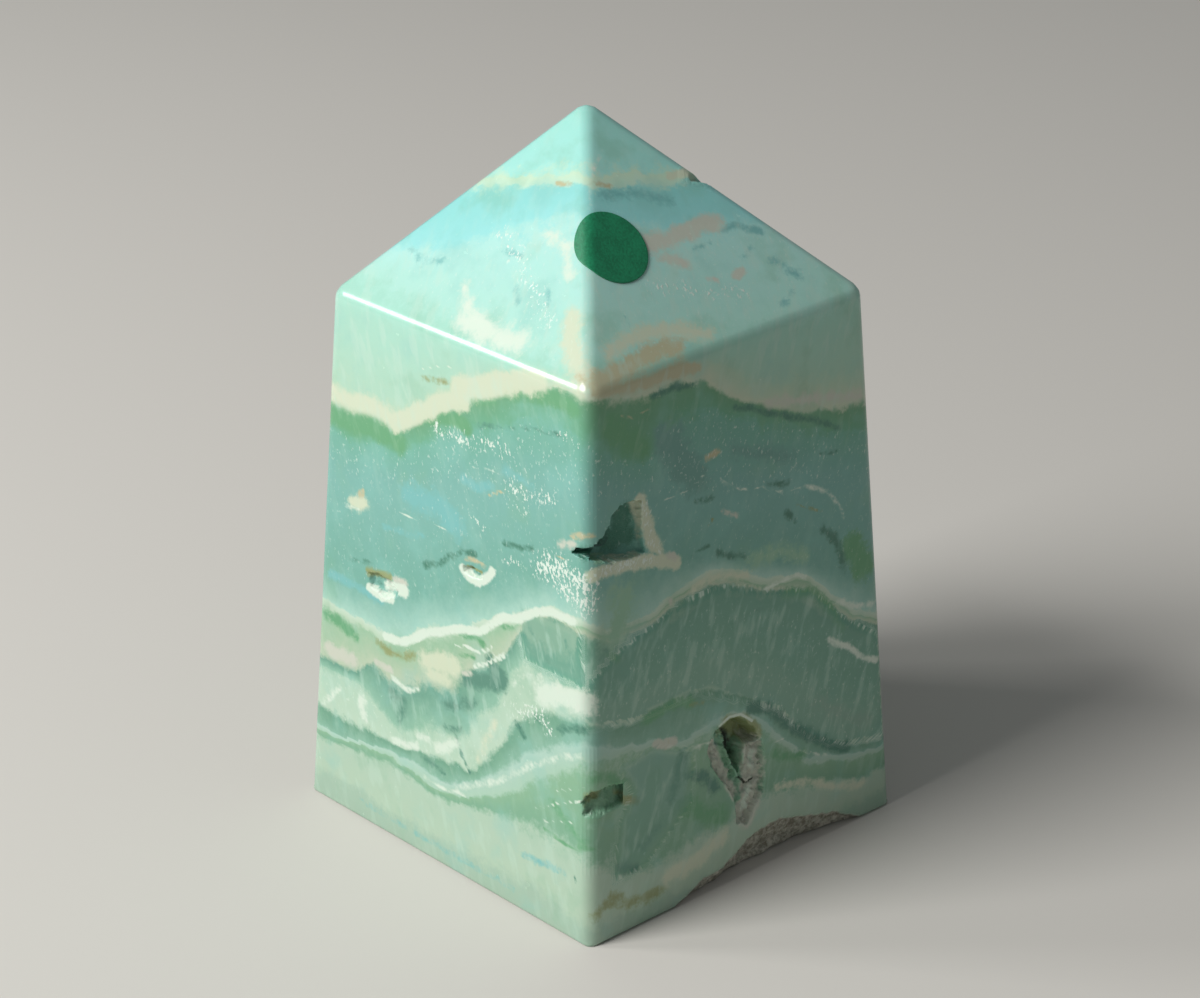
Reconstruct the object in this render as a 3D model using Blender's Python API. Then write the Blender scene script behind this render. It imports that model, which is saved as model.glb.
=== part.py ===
"""A free-standing tower of polished blue calcite with a round paper dot stuck over its front ridge.

Metres, +Z up, origin at the middle of the flat base. The tower has four sides that lean in a little and
a low four-sided point. Its front edge, the one seen in the middle of the usual view, is at +X -Y.
"""

import math

import bmesh
import bpy
from mathutils import Matrix, Vector, noise

MM = 0.001

# Sides of the base and the height of the point, as they would be before the edges are rounded
BASE_X = 57.6 * MM
BASE_Y = 56.0 * MM
POINT_HEIGHT = 99.0 * MM
POINT_OFFSET = (-0.9 * MM, -0.9 * MM)

# Where the sides end and the point begins: how far the tower has narrowed, and each corner's own height
SHOULDER_HEIGHT = 73.4 * MM
SHOULDER_SCALE = 0.857
FRONT_CORNER_HEIGHT = 72.9 * MM
LEFT_CORNER_HEIGHT = 72.9 * MM
RIGHT_CORNER_HEIGHT = 74.3 * MM
BACK_CORNER_HEIGHT = 73.4 * MM

# Rounding left by the polishing
UPRIGHT_ROUNDING = 1.9 * MM
RIDGE_ROUNDING = 1.1 * MM
SHOULDER_ROUNDING = 0.8 * MM
FOOT_ROUNDING = 0.6 * MM
WIDEST_ROUNDING = UPRIGHT_ROUNDING

# The paper dot: its size, and its middle measured down the front ridge and sideways onto the right facet
DOT_DIAMETER = 10.0 * MM
DOT_THICKNESS = 0.2 * MM
DOT_GAP = 0.3 * MM
DOT_DOWN_RIDGE = 21.3 * MM
DOT_OFF_RIDGE = 3.3 * MM

CALCITE_COLOUR = (0.33, 0.57, 0.49, 1.0)
DOT_COLOUR = (0.004, 0.14, 0.055, 1.0)


def clear_scene():
    """Remove everything, so that the file holds only this object."""
    for existing in list(bpy.data.objects):
        bpy.data.objects.remove(existing, do_unlink=True)


def principled(name, colour, roughness):
    """Return a plain material of one colour."""
    material = bpy.data.materials.new(name)
    material.use_nodes = True
    shader = material.node_tree.nodes["Principled BSDF"]
    shader.inputs["Base Color"].default_value = colour
    shader.inputs["Roughness"].default_value = roughness
    shader.inputs["Metallic"].default_value = 0.0
    return material


def object_from(name, mesh_data):
    """Turn a bmesh into an object of the scene."""
    mesh = bpy.data.meshes.new(name)
    mesh_data.to_mesh(mesh)
    mesh_data.free()
    made = bpy.data.objects.new(name, mesh)
    bpy.context.scene.collection.objects.link(made)
    return made


def upright_at(corner, height):
    """Return the point at a height on one of the four upright edges, all straight and leaning inwards."""
    narrowing = 1.0 - (1.0 - SHOULDER_SCALE) * height / SHOULDER_HEIGHT
    across_x, across_y = corner
    return Vector((across_x * BASE_X / 2 * narrowing, across_y * BASE_Y / 2 * narrowing, height))


# The four corners, each by its side of X and Y, with the height of its shoulder corner
FRONT, RIGHT, BACK, LEFT = (1, -1), (1, 1), (-1, 1), (-1, -1)
SHOULDERS = {
    FRONT: FRONT_CORNER_HEIGHT,
    RIGHT: RIGHT_CORNER_HEIGHT,
    BACK: BACK_CORNER_HEIGHT,
    LEFT: LEFT_CORNER_HEIGHT,
}
APEX = Vector((POINT_OFFSET[0], POINT_OFFSET[1], POINT_HEIGHT))


def shoulder(corner):
    """Return a corner's shoulder point."""
    return upright_at(corner, SHOULDERS[corner])


class Face:
    """A flat side of the tower, with positions on it given across and up from its lowest middle point."""

    def __init__(self, low_left, low_right, inner):
        self.origin = (low_left + low_right) / 2
        self.across = (low_right - low_left).normalized()
        self.outwards = self.across.cross(inner - self.origin).normalized()
        self.up = self.outwards.cross(self.across)

    def at(self, across, up, out=0.0):
        return self.origin + self.across * across + self.up * up + self.outwards * out

    def turn(self, degrees=0.0):
        """Return the rotation that lays a shape's own X, Y and Z along across, up and outwards."""
        frame = Matrix((self.across, self.up, self.outwards)).transposed()
        return (frame @ Matrix.Rotation(math.radians(degrees), 3, "Z")).to_4x4()


LEFT_SIDE = Face(upright_at(LEFT, 0), upright_at(FRONT, 0), shoulder(FRONT))
RIGHT_SIDE = Face(upright_at(FRONT, 0), upright_at(RIGHT, 0), shoulder(RIGHT))


def add_tower():
    """Build the four sides and the point as one closed body, with its edges rounded by a bevel."""
    shape = bmesh.new()
    order = (FRONT, RIGHT, BACK, LEFT)
    low = [shape.verts.new(upright_at(corner, 0)) for corner in order]
    high = [shape.verts.new(shoulder(corner)) for corner in order]
    tip = shape.verts.new(APEX)
    shape.faces.new(low[::-1])
    for i in range(4):
        j = (i + 1) % 4
        shape.faces.new((low[i], low[j], high[j], high[i]))
        shape.faces.new((high[i], high[j], tip))
    weights = shape.edges.layers.float.new("bevel_weight_edge")
    for edge in shape.edges:
        ends = set(edge.verts)
        if ends <= set(low):
            rounding = FOOT_ROUNDING
        elif ends <= set(high):
            rounding = SHOULDER_ROUNDING
        elif tip in ends:
            rounding = RIDGE_ROUNDING
        else:
            rounding = UPRIGHT_ROUNDING
        edge[weights] = rounding / WIDEST_ROUNDING
    tower = object_from("calcite_tower", shape)
    rounding = tower.modifiers.new("rounded_edges", "BEVEL")
    rounding.limit_method = "WEIGHT"
    rounding.offset_type = "OFFSET"
    rounding.width = WIDEST_ROUNDING
    rounding.segments = 4
    rounding.profile = 0.5
    tower.data.materials.append(principled("calcite", CALCITE_COLOUR, 0.18))
    return tower


def cut_away(tower, cutters):
    """Take the cutters' shapes out of the tower, all in one step."""
    helpers = bpy.data.collections.new("cutters")
    bpy.context.scene.collection.children.link(helpers)
    for cutter in cutters:
        bpy.context.scene.collection.objects.unlink(cutter)
        helpers.objects.link(cutter)
        cutter.hide_render = True
        cutter.display_type = "WIRE"
    hollows = tower.modifiers.new("hollows_and_knocks", "BOOLEAN")
    hollows.operation = "DIFFERENCE"
    hollows.solver = "EXACT"
    hollows.operand_type = "COLLECTION"
    hollows.collection = helpers


def pebble(name, face, across, up, out, size, degrees=0.0, yaw=0.0, roughness=0.12, fineness=3):
    """Make an uneven egg-shaped cutter. Its size is its width across, its height and its depth.

    Degrees turns it on the face, and yaw swings its depth round the upright towards the face's low side.
    """
    shape = bmesh.new()
    bmesh.ops.create_icosphere(shape, subdivisions=fineness, radius=0.5)
    seed = Vector((across, up, out)) / MM
    for vertex in shape.verts:
        bump = noise.noise(vertex.co * 3.1 + seed) + 0.5 * noise.noise(vertex.co * 7.3 + seed)
        vertex.co *= 1.0 + roughness * bump
    shape.transform(Matrix.Diagonal((*size, 1.0)))
    shape.transform(Matrix.Rotation(math.radians(yaw), 4, "Y"))
    shape.transform(face.turn(degrees))
    shape.transform(Matrix.Translation(face.at(across, up, out)))
    shape.normal_update()
    return object_from(name, shape)


def pocket(name, face, outline, depth, taper=0.85, proud=3.0 * MM):
    """Make a cutter from an outline on a face, a list of (across, up), going in to a flat back wall."""
    shape = bmesh.new()
    middle = Vector((sum(p[0] for p in outline), sum(p[1] for p in outline))) / len(outline)
    rings = []
    for out, shrink in ((proud, 1.0), (0.0, 1.0), (-depth * 0.7, 0.5 + taper / 2), (-depth, taper)):
        ring = []
        for point in outline:
            moved = middle + (Vector(point) - middle) * shrink
            ring.append(shape.verts.new(face.at(moved.x, moved.y, out)))
        rings.append(ring)
    shape.faces.new(rings[0])
    shape.faces.new(rings[-1][::-1])
    for near, far in zip(rings, rings[1:]):
        for i in range(len(outline)):
            j = (i + 1) % len(outline)
            shape.faces.new((near[j], near[i], far[i], far[j]))
    bmesh.ops.recalc_face_normals(shape, faces=shape.faces)
    return object_from(name, shape)


def hollow_cutters():
    """Make the cutters of the natural cavities, each at its place on its face."""
    edge = -BASE_Y / 2
    mouth = [
        (edge + 1.0 * MM, 51.3 * MM),
        (edge + 5.2 * MM, 51.0 * MM),
        (edge + 10.1 * MM, 50.2 * MM),
        (edge + 12.9 * MM, 50.0 * MM),
        (edge + 12.5 * MM, 54.4 * MM),
        (edge + 12.5 * MM, 57.1 * MM),
        (edge + 10.5 * MM, 57.5 * MM),
        (edge + 8.8 * MM, 57.2 * MM),
        (edge + 7.5 * MM, 56.5 * MM),
        (edge + 6.9 * MM, 55.4 * MM),
        (edge + 5.8 * MM, 54.0 * MM),
        (edge + 4.5 * MM, 53.2 * MM),
        (edge + 1.0 * MM, 52.7 * MM),
    ]
    cutters = [pocket("hollow_by_front_edge", RIGHT_SIDE, mouth, 3.3 * MM)]
    # Each row: name, face, across and up the face, out of it, size, turn on the face, yaw, roughness, fineness
    hollows = (
        ("slot_behind_front_edge", RIGHT_SIDE, edge + 4.8 * MM, 52.0 * MM, -2.0 * MM,
         (4.6 * MM, 2.2 * MM, 9.0 * MM), 0.0, 45.0, 0.1, 3),
        ("pit_low_on_right_side", RIGHT_SIDE, 0.2 * MM, 18.8 * MM, -0.4 * MM,
         (7.6 * MM, 8.8 * MM, 7.0 * MM), 12.0, 0.0, 0.14, 3),
        ("tail_of_the_pit", RIGHT_SIDE, 0.9 * MM, 12.2 * MM, 0.1 * MM,
         (5.6 * MM, 11.0 * MM, 3.4 * MM), 6.0, 0.0, 0.14, 3),
        ("pit_low_on_front_edge", RIGHT_SIDE, edge + 2.7 * MM, 17.8 * MM, -0.6 * MM,
         (7.6 * MM, 3.8 * MM, 5.0 * MM), 0.0, 35.0, 0.12, 3),
        ("crater_left", LEFT_SIDE, -13.2 * MM, 35.6 * MM, 0.0,
         (6.2 * MM, 2.8 * MM, 2.2 * MM), -4.0, 0.0, 0.2, 2),
        ("crater_middle", LEFT_SIDE, 4.6 * MM, 43.4 * MM, 0.0,
         (4.4 * MM, 1.6 * MM, 1.6 * MM), -4.0, 0.0, 0.2, 2),
    )
    for name, face, across, up, out, size, degrees, yaw, roughness, fineness in hollows:
        cutters.append(pebble(name, face, across, up, out, size, degrees, yaw, roughness, fineness))
    return cutters


def knock_cutters():
    """Make the cutters of the chip on the right ridge and of the broken foot of the right side."""
    ridge = shoulder(RIGHT) - APEX
    share_down_ridge = 0.405
    chip = bmesh.new()
    bmesh.ops.create_icosphere(chip, subdivisions=2, radius=0.5)
    for vertex in chip.verts:
        vertex.co *= 1.0 + 0.15 * noise.noise(vertex.co * 4.0)
    chip.transform(Matrix.Diagonal((2.8 * MM, 5.0 * MM, 2.2 * MM, 1.0)))
    chip.transform(ridge.to_track_quat("X", "Z").to_matrix().to_4x4())
    chip.transform(Matrix.Translation(APEX + ridge * share_down_ridge))
    broken_foot = pebble(
        "broken_foot",
        RIGHT_SIDE,
        5.5 * MM,
        0.6 * MM,
        1.5 * MM,
        (30.0 * MM, 12.5 * MM, 7.4 * MM),
        degrees=2.0,
        roughness=0.16,
    )
    return [object_from("chip_on_right_ridge", chip), broken_foot]


def folded_over_ridge(along, sideways, lift):
    """Return a point of a sheet laid over the front ridge.

    Along runs down the ridge from the tip, sideways is measured on the sheet from the ridge, positive onto the
    right facet, and lift is the height over the stone's rounded surface.
    """
    down = (shoulder(FRONT) - APEX).normalized()
    right_normal = down.cross(shoulder(RIGHT) - APEX).normalized()
    left_normal = (shoulder(LEFT) - APEX).cross(down).normalized()
    middle = (right_normal + left_normal).normalized()
    half_turn = right_normal.angle(middle)
    radius = RIDGE_ROUNDING / math.tan(half_turn)
    rightwards = middle.cross(down)
    rightwards *= 1.0 if rightwards.dot(right_normal) > 0 else -1.0
    axis = APEX + down * along - middle * (radius / math.cos(half_turn))
    angle = max(-half_turn, min(half_turn, sideways / radius))
    normal = middle * math.cos(angle) + rightwards * math.sin(angle)
    tangent = rightwards * math.cos(angle) - middle * math.sin(angle)
    return axis + normal * (radius + lift) + tangent * (sideways - radius * angle)


def add_paper_dot():
    """Build the dot as a thin sheet that follows the ridge, clear of the stone by a small gap."""
    rings, spokes = 6, 48
    shape = bmesh.new()
    sheets = []
    for lift in (DOT_GAP, DOT_GAP + DOT_THICKNESS):
        middle = shape.verts.new(folded_over_ridge(DOT_DOWN_RIDGE, DOT_OFF_RIDGE, lift))
        circles = []
        for ring in range(1, rings + 1):
            radius = DOT_DIAMETER / 2 * ring / rings
            circle = []
            for spoke in range(spokes):
                angle = 2 * math.pi * spoke / spokes
                along = DOT_DOWN_RIDGE + radius * math.cos(angle)
                sideways = DOT_OFF_RIDGE + radius * math.sin(angle)
                circle.append(shape.verts.new(folded_over_ridge(along, sideways, lift)))
            circles.append(circle)
        sheets.append((middle, circles))
    for middle, circles in sheets:
        for i in range(spokes):
            j = (i + 1) % spokes
            shape.faces.new((middle, circles[0][i], circles[0][j]))
            for inner, outer in zip(circles, circles[1:]):
                shape.faces.new((inner[i], outer[i], outer[j], inner[j]))
    lower_rim, upper_rim = sheets[0][1][-1], sheets[1][1][-1]
    for i in range(spokes):
        j = (i + 1) % spokes
        shape.faces.new((lower_rim[i], lower_rim[j], upper_rim[j], upper_rim[i]))
    bmesh.ops.recalc_face_normals(shape, faces=shape.faces)
    dot = object_from("paper_dot", shape)
    dot.data.materials.append(principled("green_paper", DOT_COLOUR, 0.55))
    return dot


def main():
    clear_scene()
    tower = add_tower()
    cut_away(tower, hollow_cutters() + knock_cutters())
    dot = add_paper_dot()
    dot.parent = tower


main()
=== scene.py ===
"""The looks of a polished blue calcite tower that stands on a pale floor, with a bare paper dot on its ridge.

Lengths inside this script are in millimetres, in the frame's own axes, and they are turned into metres when a
mesh is written. The tower's front edge, in the middle of the picture, is at +X -Y.
"""

from __future__ import annotations

import logging
import math
from dataclasses import dataclass, field
from enum import Enum

import bmesh
import bpy
import numpy as np
from mathutils import Matrix, Vector, noise

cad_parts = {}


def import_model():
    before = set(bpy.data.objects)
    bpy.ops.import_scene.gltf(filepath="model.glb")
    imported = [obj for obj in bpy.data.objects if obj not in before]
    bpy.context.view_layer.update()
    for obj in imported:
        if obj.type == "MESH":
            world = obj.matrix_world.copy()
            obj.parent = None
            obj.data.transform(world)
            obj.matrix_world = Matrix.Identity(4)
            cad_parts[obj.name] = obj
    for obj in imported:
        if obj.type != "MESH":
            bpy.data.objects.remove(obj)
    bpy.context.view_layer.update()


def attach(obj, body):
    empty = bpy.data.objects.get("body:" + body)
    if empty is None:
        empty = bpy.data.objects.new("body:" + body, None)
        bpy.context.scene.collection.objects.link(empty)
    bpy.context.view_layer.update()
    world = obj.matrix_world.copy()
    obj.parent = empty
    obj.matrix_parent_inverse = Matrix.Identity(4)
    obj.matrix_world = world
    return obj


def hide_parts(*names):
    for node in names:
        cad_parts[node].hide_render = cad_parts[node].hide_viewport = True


MM = 0.001
AROUND_MM = 53.0
BACK_SEAM = 3.0

log = logging.getLogger("calcite_tower")

Colour = tuple[float, float, float]
Places = list[tuple[float, float]]


class Corner(Enum):
    """The tower's four upright edges, each by its side of X and of Y."""

    LEFT = (-1, -1)
    FRONT = (1, -1)
    RIGHT = (1, 1)
    BACK = (-1, 1)


def unit(vector: np.ndarray) -> np.ndarray:
    """Return the vector at length one."""
    return vector / np.linalg.norm(vector)


def smooth_step(low: float, high: float, value: np.ndarray) -> np.ndarray:
    """Rise smoothly from 0 to 1 while the value goes from low to high."""
    share = np.clip((value - low) / (high - low), 0.0, 1.0)
    return share * share * (3.0 - 2.0 * share)


@dataclass(frozen=True)
class Facet:
    """A flat side of the tower, on which a place is given across and up from the middle of its lower edge.

    Attributes:
        origin: the point where across and up are nought.
        across: the unit direction to the right, seen from outside.
        up: the unit direction up the facet.
        outwards: the facet's normal.
    """

    origin: np.ndarray
    across: np.ndarray
    up: np.ndarray
    outwards: np.ndarray

    @staticmethod
    def through(low_left: np.ndarray, low_right: np.ndarray, inner: np.ndarray) -> Facet:
        """Lay a facet through two low corners and any higher point of it.

        Args:
            low_left: its lower left corner, seen from outside.
            low_right: its lower right corner.
            inner: another point of the facet, above the other two.

        Returns:
            The facet.
        """
        origin = (low_left + low_right) / 2
        across = unit(low_right - low_left)
        outwards = unit(np.cross(across, inner - origin))
        return Facet(origin, across, np.cross(outwards, across), outwards)

    def at(self, across: float, up: float, out: float = 0.0) -> np.ndarray:
        """Return the point at these distances on the facet."""
        return self.origin + self.across * across + self.up * up + self.outwards * out

    def measure(self, points: np.ndarray) -> tuple[np.ndarray, np.ndarray, np.ndarray]:
        """Return how far across, up and out of the facet each point lies."""
        away = points - self.origin
        return away @ self.across, away @ self.up, away @ self.outwards


@dataclass(frozen=True)
class TowerCut:
    """The lapidary's cut: the plain faceted shape before its edges were rounded, in millimetres."""

    base_x: float = 57.6
    base_y: float = 56.0
    point_height: float = 99.0
    point_offset: tuple[float, float] = (-0.9, -0.9)
    shoulder_height: float = 73.4
    shoulder_scale: float = 0.857
    corner_heights: tuple[float, float, float, float] = (72.9, 72.9, 74.3, 73.4)
    upright_rounding: float = 1.9
    ridge_rounding: float = 1.1
    shoulder_rounding: float = 0.8
    foot_rounding: float = 0.6

    def upright_at(self, corner: Corner, height: float) -> np.ndarray:
        """Return the point at a height on an upright edge, which is straight and leans in."""
        narrowing = 1.0 - (1.0 - self.shoulder_scale) * height / self.shoulder_height
        side_x, side_y = corner.value
        return np.array([side_x * self.base_x / 2 * narrowing, side_y * self.base_y / 2 * narrowing, height])

    def corner_height(self, corner: Corner) -> float:
        """Return the height at which an upright edge meets the point."""
        return self.corner_heights[list(Corner).index(corner)]

    def shoulder(self, corner: Corner) -> np.ndarray:
        """Return the corner where an upright edge meets the point."""
        return self.upright_at(corner, self.corner_height(corner))

    @property
    def apex(self) -> np.ndarray:
        """The sharp tip, before rounding."""
        return np.array([*self.point_offset, self.point_height])

    def side(self, left: Corner, right: Corner) -> Facet:
        """Return the upright side between two corners, named as seen from outside."""
        return Facet.through(self.upright_at(left, 0), self.upright_at(right, 0), self.shoulder(right))

    def roof(self, left: Corner, right: Corner) -> Facet:
        """Return the facet of the point between two corners."""
        return Facet.through(self.shoulder(left), self.shoulder(right), self.apex)

    def front_edge(self) -> Facet:
        """Return the plane that touches the front edge and faces the two sides' middle direction."""
        foot = self.upright_at(Corner.FRONT, 0)
        up = unit(self.shoulder(Corner.FRONT) - foot)
        across = self.side(Corner.LEFT, Corner.FRONT).across + self.side(Corner.FRONT, Corner.RIGHT).across
        across = unit(across - up * (across @ up))
        return Facet(foot, across, up, np.cross(across, up))


CUT = TowerCut()
LEFT_SIDE = CUT.side(Corner.LEFT, Corner.FRONT)
RIGHT_SIDE = CUT.side(Corner.FRONT, Corner.RIGHT)
LEFT_ROOF = CUT.roof(Corner.LEFT, Corner.FRONT)
RIGHT_ROOF = CUT.roof(Corner.FRONT, Corner.RIGHT)
FAR_ROOF = CUT.roof(Corner.RIGHT, Corner.BACK)
FRONT_EDGE = CUT.front_edge()


@dataclass(frozen=True)
class Wall:
    """The whole outside of the cut, on which a place is given by how far around it is and by its height.

    Around goes from 0 at the left edge through 1 at the front edge and 2 at the right edge to 3 at the back edge.
    """

    cut: TowerCut

    def at(self, around: float, height: float) -> np.ndarray:
        """Return the point of the plain cut at a place around and a height."""
        corners = list(Corner)
        first = corners[int(math.floor(around)) % 4]
        second = corners[int(math.floor(around) + 1) % 4]
        share = around - math.floor(around)
        top = self.cut.corner_height(first) * (1 - share) + self.cut.corner_height(second) * share
        low = min(height, top)
        place = self.cut.upright_at(first, low) * (1 - share) + self.cut.upright_at(second, low) * share
        if height > top:
            rise = (height - top) / (self.cut.point_height - top)
            place = place * (1 - rise) + self.cut.apex * rise
        return place

    def around(self, points: np.ndarray) -> np.ndarray:
        """Return how far around the tower each point lies, from -1 to 3."""
        rise = (points[:, 2] - self.cut.shoulder_height) / (self.cut.point_height - self.cut.shoulder_height)
        shift = np.clip(rise, 0.0, 1.0)
        x = (points[:, 0] - self.cut.point_offset[0] * shift) / self.cut.base_x
        y = (points[:, 1] - self.cut.point_offset[1] * shift) / self.cut.base_y
        reach = np.maximum(np.maximum(np.abs(x), np.abs(y)), 1e-6)
        x, y = x / reach, y / reach
        found = np.where(y <= -0.999999, (x + 1) / 2, 0.0)
        found = np.where((x >= 0.999999) & (y > -0.999999), 1 + (y + 1) / 2, found)
        found = np.where((y >= 0.999999) & (x < 0.999999), 2 + (1 - x) / 2, found)
        return np.where((x <= -0.999999) & (np.abs(y) < 0.999999), -(y + 1) / 2, found)


WALL = Wall(CUT)


def rolling(points: np.ndarray, wavelength: float, seed: float, octaves: int = 3) -> np.ndarray:
    """Return smooth noise between about -1 and 1 at each point.

    Args:
        points: places in millimetres.
        wavelength: the size of its largest swells in millimetres.
        seed: shifts the pattern, so that two calls differ.
        octaves: how many finer layers are added.

    Returns:
        One number for each point.
    """
    shift = Vector((seed, seed * 1.7, seed * 0.6))
    return np.array([noise.fractal(Vector(p) / wavelength + shift, 0.6, 2.0, octaves) for p in points])


def inside_outline(outline: Places, x: np.ndarray, y: np.ndarray) -> np.ndarray:
    """Return each point's distance to a closed outline, positive inside it.

    Args:
        outline: its corners in order.
        x: the points' first coordinates.
        y: their second coordinates.

    Returns:
        Signed distances.
    """
    nearest = np.full(x.shape, np.inf)
    within = np.zeros(x.shape, bool)
    for (ax, ay), (bx, by) in zip(outline, outline[1:] + outline[:1]):
        ex, ey = bx - ax, by - ay
        share = np.clip(((x - ax) * ex + (y - ay) * ey) / (ex * ex + ey * ey), 0.0, 1.0)
        nearest = np.minimum(nearest, np.hypot(x - ax - share * ex, y - ay - share * ey))
        if ey != 0.0:
            within ^= ((ay > y) != (by > y)) & (x < ax + (y - ay) * ex / ey)
    return np.where(within, nearest, -nearest)


@dataclass(frozen=True)
class Hollow:
    """A natural cavity or a knock: an outline on a facet that goes in to a floor.

    Attributes:
        facet: where it opens.
        outline: its mouth, across and up the facet.
        depth: how deep its floor is in the middle.
        wall: over what distance from the rim it gets there.
        slope: how much deeper the floor gets for each millimetre across.
        lift: how much deeper the floor gets for each millimetre up.
        roughness: how uneven the floor is.
        reach: how far behind the facet's plane the stone still belongs to it.
        ragged: how far the rim wanders.
    """

    facet: Facet
    outline: Places
    depth: float
    wall: float
    slope: float = 0.0
    lift: float = 0.0
    roughness: float = 0.15
    reach: float = 2.5
    ragged: float = 0.2

    def rim(self, points: np.ndarray) -> np.ndarray:
        """Return each point's distance inside the mouth, and a large negative one away from the facet."""
        across, up, out = self.facet.measure(points)
        distance = inside_outline(self.outline, across, up)
        close = (distance > -1.5) & (np.abs(out) < self.reach)
        distance[close] += self.ragged * rolling(points[close], 0.9, self.depth, 3)
        return np.where(np.abs(out) < self.reach, distance, -99.0)

    def push(self, points: np.ndarray, rim: np.ndarray) -> np.ndarray:
        """Return how each point of the uncut stone moves to form the hollow."""
        moved = np.zeros_like(points)
        share = smooth_step(0.0, self.wall, rim)
        inner = share > 0.0
        if inner.any():
            across, up, _ = self.facet.measure(points[inner])
            middle = np.mean(self.outline, axis=0)
            depth = self.depth + self.slope * (across - middle[0]) + self.lift * (up - middle[1])
            depth += self.roughness * rolling(points[inner], 1.3, self.wall + 3.0, 4)
            moved[inner] = np.outer(-share[inner] * np.maximum(depth, 0.05), self.facet.outwards)
        return moved


HOLLOWS: dict[str, Hollow] = {
    "hollow": Hollow(
        RIGHT_SIDE,
        [(-15.6, 50.2), (-16.1, 52.2), (-16.0, 54.8), (-16.1, 57.3), (-18.0, 57.8), (-19.7, 57.6), (-21.0, 56.9),
         (-21.6, 55.8), (-22.7, 54.5), (-24.3, 53.6), (-24.6, 52.0), (-23.3, 51.3), (-20.9, 50.6), (-18.4, 50.4)],
        depth=2.0, wall=0.3, slope=-0.3, roughness=0.12, reach=1.6,
    ),
    "slot": Hollow(
        FRONT_EDGE,
        [(-2.2, 52.4), (-1.6, 53.3), (-0.7, 53.5), (0.8, 53.8), (1.5, 54.7), (2.0, 54.3), (2.4, 53.3), (2.0, 52.7),
         (0.8, 52.3), (-0.4, 52.1)],
        depth=5.5, wall=0.35, roughness=0.2, reach=3.0, ragged=0.1,
    ),
    "pit": Hollow(
        RIGHT_SIDE,
        [(-3.9, 22.6), (-2.4, 23.3), (-0.5, 23.0), (2.1, 20.6), (2.9, 18.6), (2.2, 18.0), (0.4, 18.6), (-0.2, 17.0),
         (0.1, 14.6), (-1.0, 14.2), (-2.4, 17.2), (-3.4, 19.8)],
        depth=2.8, wall=0.6, roughness=0.35,
    ),
    "pit_crystals": Hollow(
        RIGHT_SIDE,
        [(0.4, 18.8), (2.2, 18.3), (3.4, 18.6), (3.7, 15.2), (3.5, 10.9), (2.1, 9.2), (0.4, 7.0), (-1.7, 7.8),
         (-2.0, 11.4), (-2.9, 13.2), (-4.3, 15.1), (-6.0, 17.9), (-6.6, 20.2), (-5.0, 22.5), (-3.6, 22.6),
         (-2.6, 18.0), (-1.2, 14.6), (0.0, 16.0)],
        depth=0.8, wall=0.35, roughness=0.55,
    ),
    "front_pit": Hollow(
        FRONT_EDGE,
        [(-1.2, 20.2), (0.0, 21.5), (2.4, 21.8), (4.8, 21.1), (5.3, 19.8), (4.1, 18.2), (1.3, 17.7), (-0.8, 17.9)],
        depth=1.7, wall=0.8, roughness=0.3, reach=4.0, lift=0.35,
    ),
    "left_crater": Hollow(
        LEFT_SIDE,
        [(-16.6, 36.6), (-14.6, 37.4), (-11.4, 37.0), (-9.6, 36.0), (-10.2, 34.9), (-12.6, 33.8), (-15.8, 34.3)],
        depth=0.7, wall=0.9, roughness=0.3,
    ),
    "middle_crater": Hollow(
        LEFT_SIDE,
        [(2.6, 43.9), (4.4, 44.4), (6.4, 44.1), (6.6, 43.2), (4.8, 42.6), (2.8, 42.9)],
        depth=0.6, wall=0.5, roughness=0.3,
    ),
}


@dataclass(frozen=True)
class BrokenFoot:
    """The rough break along the foot of the right side, under a line given by its (across, up) on that side."""

    line: Places = field(
        default_factory=lambda: [(-15.0, -0.5), (-8.6, 2.2), (-4.4, 2.6), (0.3, 5.1), (5.3, 5.9), (10.0, 4.8),
                                 (17.6, 2.4), (21.5, 0.4), (24.0, -0.5)]
    )
    deepest: float = 2.3
    steepness: float = 0.5
    lip: float = 0.35

    def below(self, points: np.ndarray) -> np.ndarray:
        """Return how far under the break's upper edge each point lies, and a large negative away from it."""
        across, up, out = RIGHT_SIDE.measure(points)
        edge = np.interp(across, [p[0] for p in self.line], [p[1] for p in self.line], -9.0, -9.0)
        under = edge - up
        close = (under > -2.0) & (out > -1.2) & (edge > -5.0)
        under[close] += 0.35 * rolling(points[close], 2.2, 5.5, 3)
        return np.where((out > -1.2) & (edge > -5.0), under, -99.0)

    def push(self, points: np.ndarray, below: np.ndarray) -> np.ndarray:
        """Return how each point moves to form the break, all of it level."""
        moved = np.zeros_like(points)
        inner = below > 0.0
        if inner.any():
            under = below[inner]
            depth = np.minimum(self.deepest, self.lip + self.steepness * under) * smooth_step(0.0, 0.4, under)
            strata = points[inner] * np.array([1.0, 0.45, 2.0])
            depth += smooth_step(0.0, 0.8, under) * 0.3 * rolling(strata, 1.5, 7.7, 4)
            moved[inner] = np.outer(-np.maximum(depth, 0.02), np.array([1.0, 0.0, 0.0]))
        return moved


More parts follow.
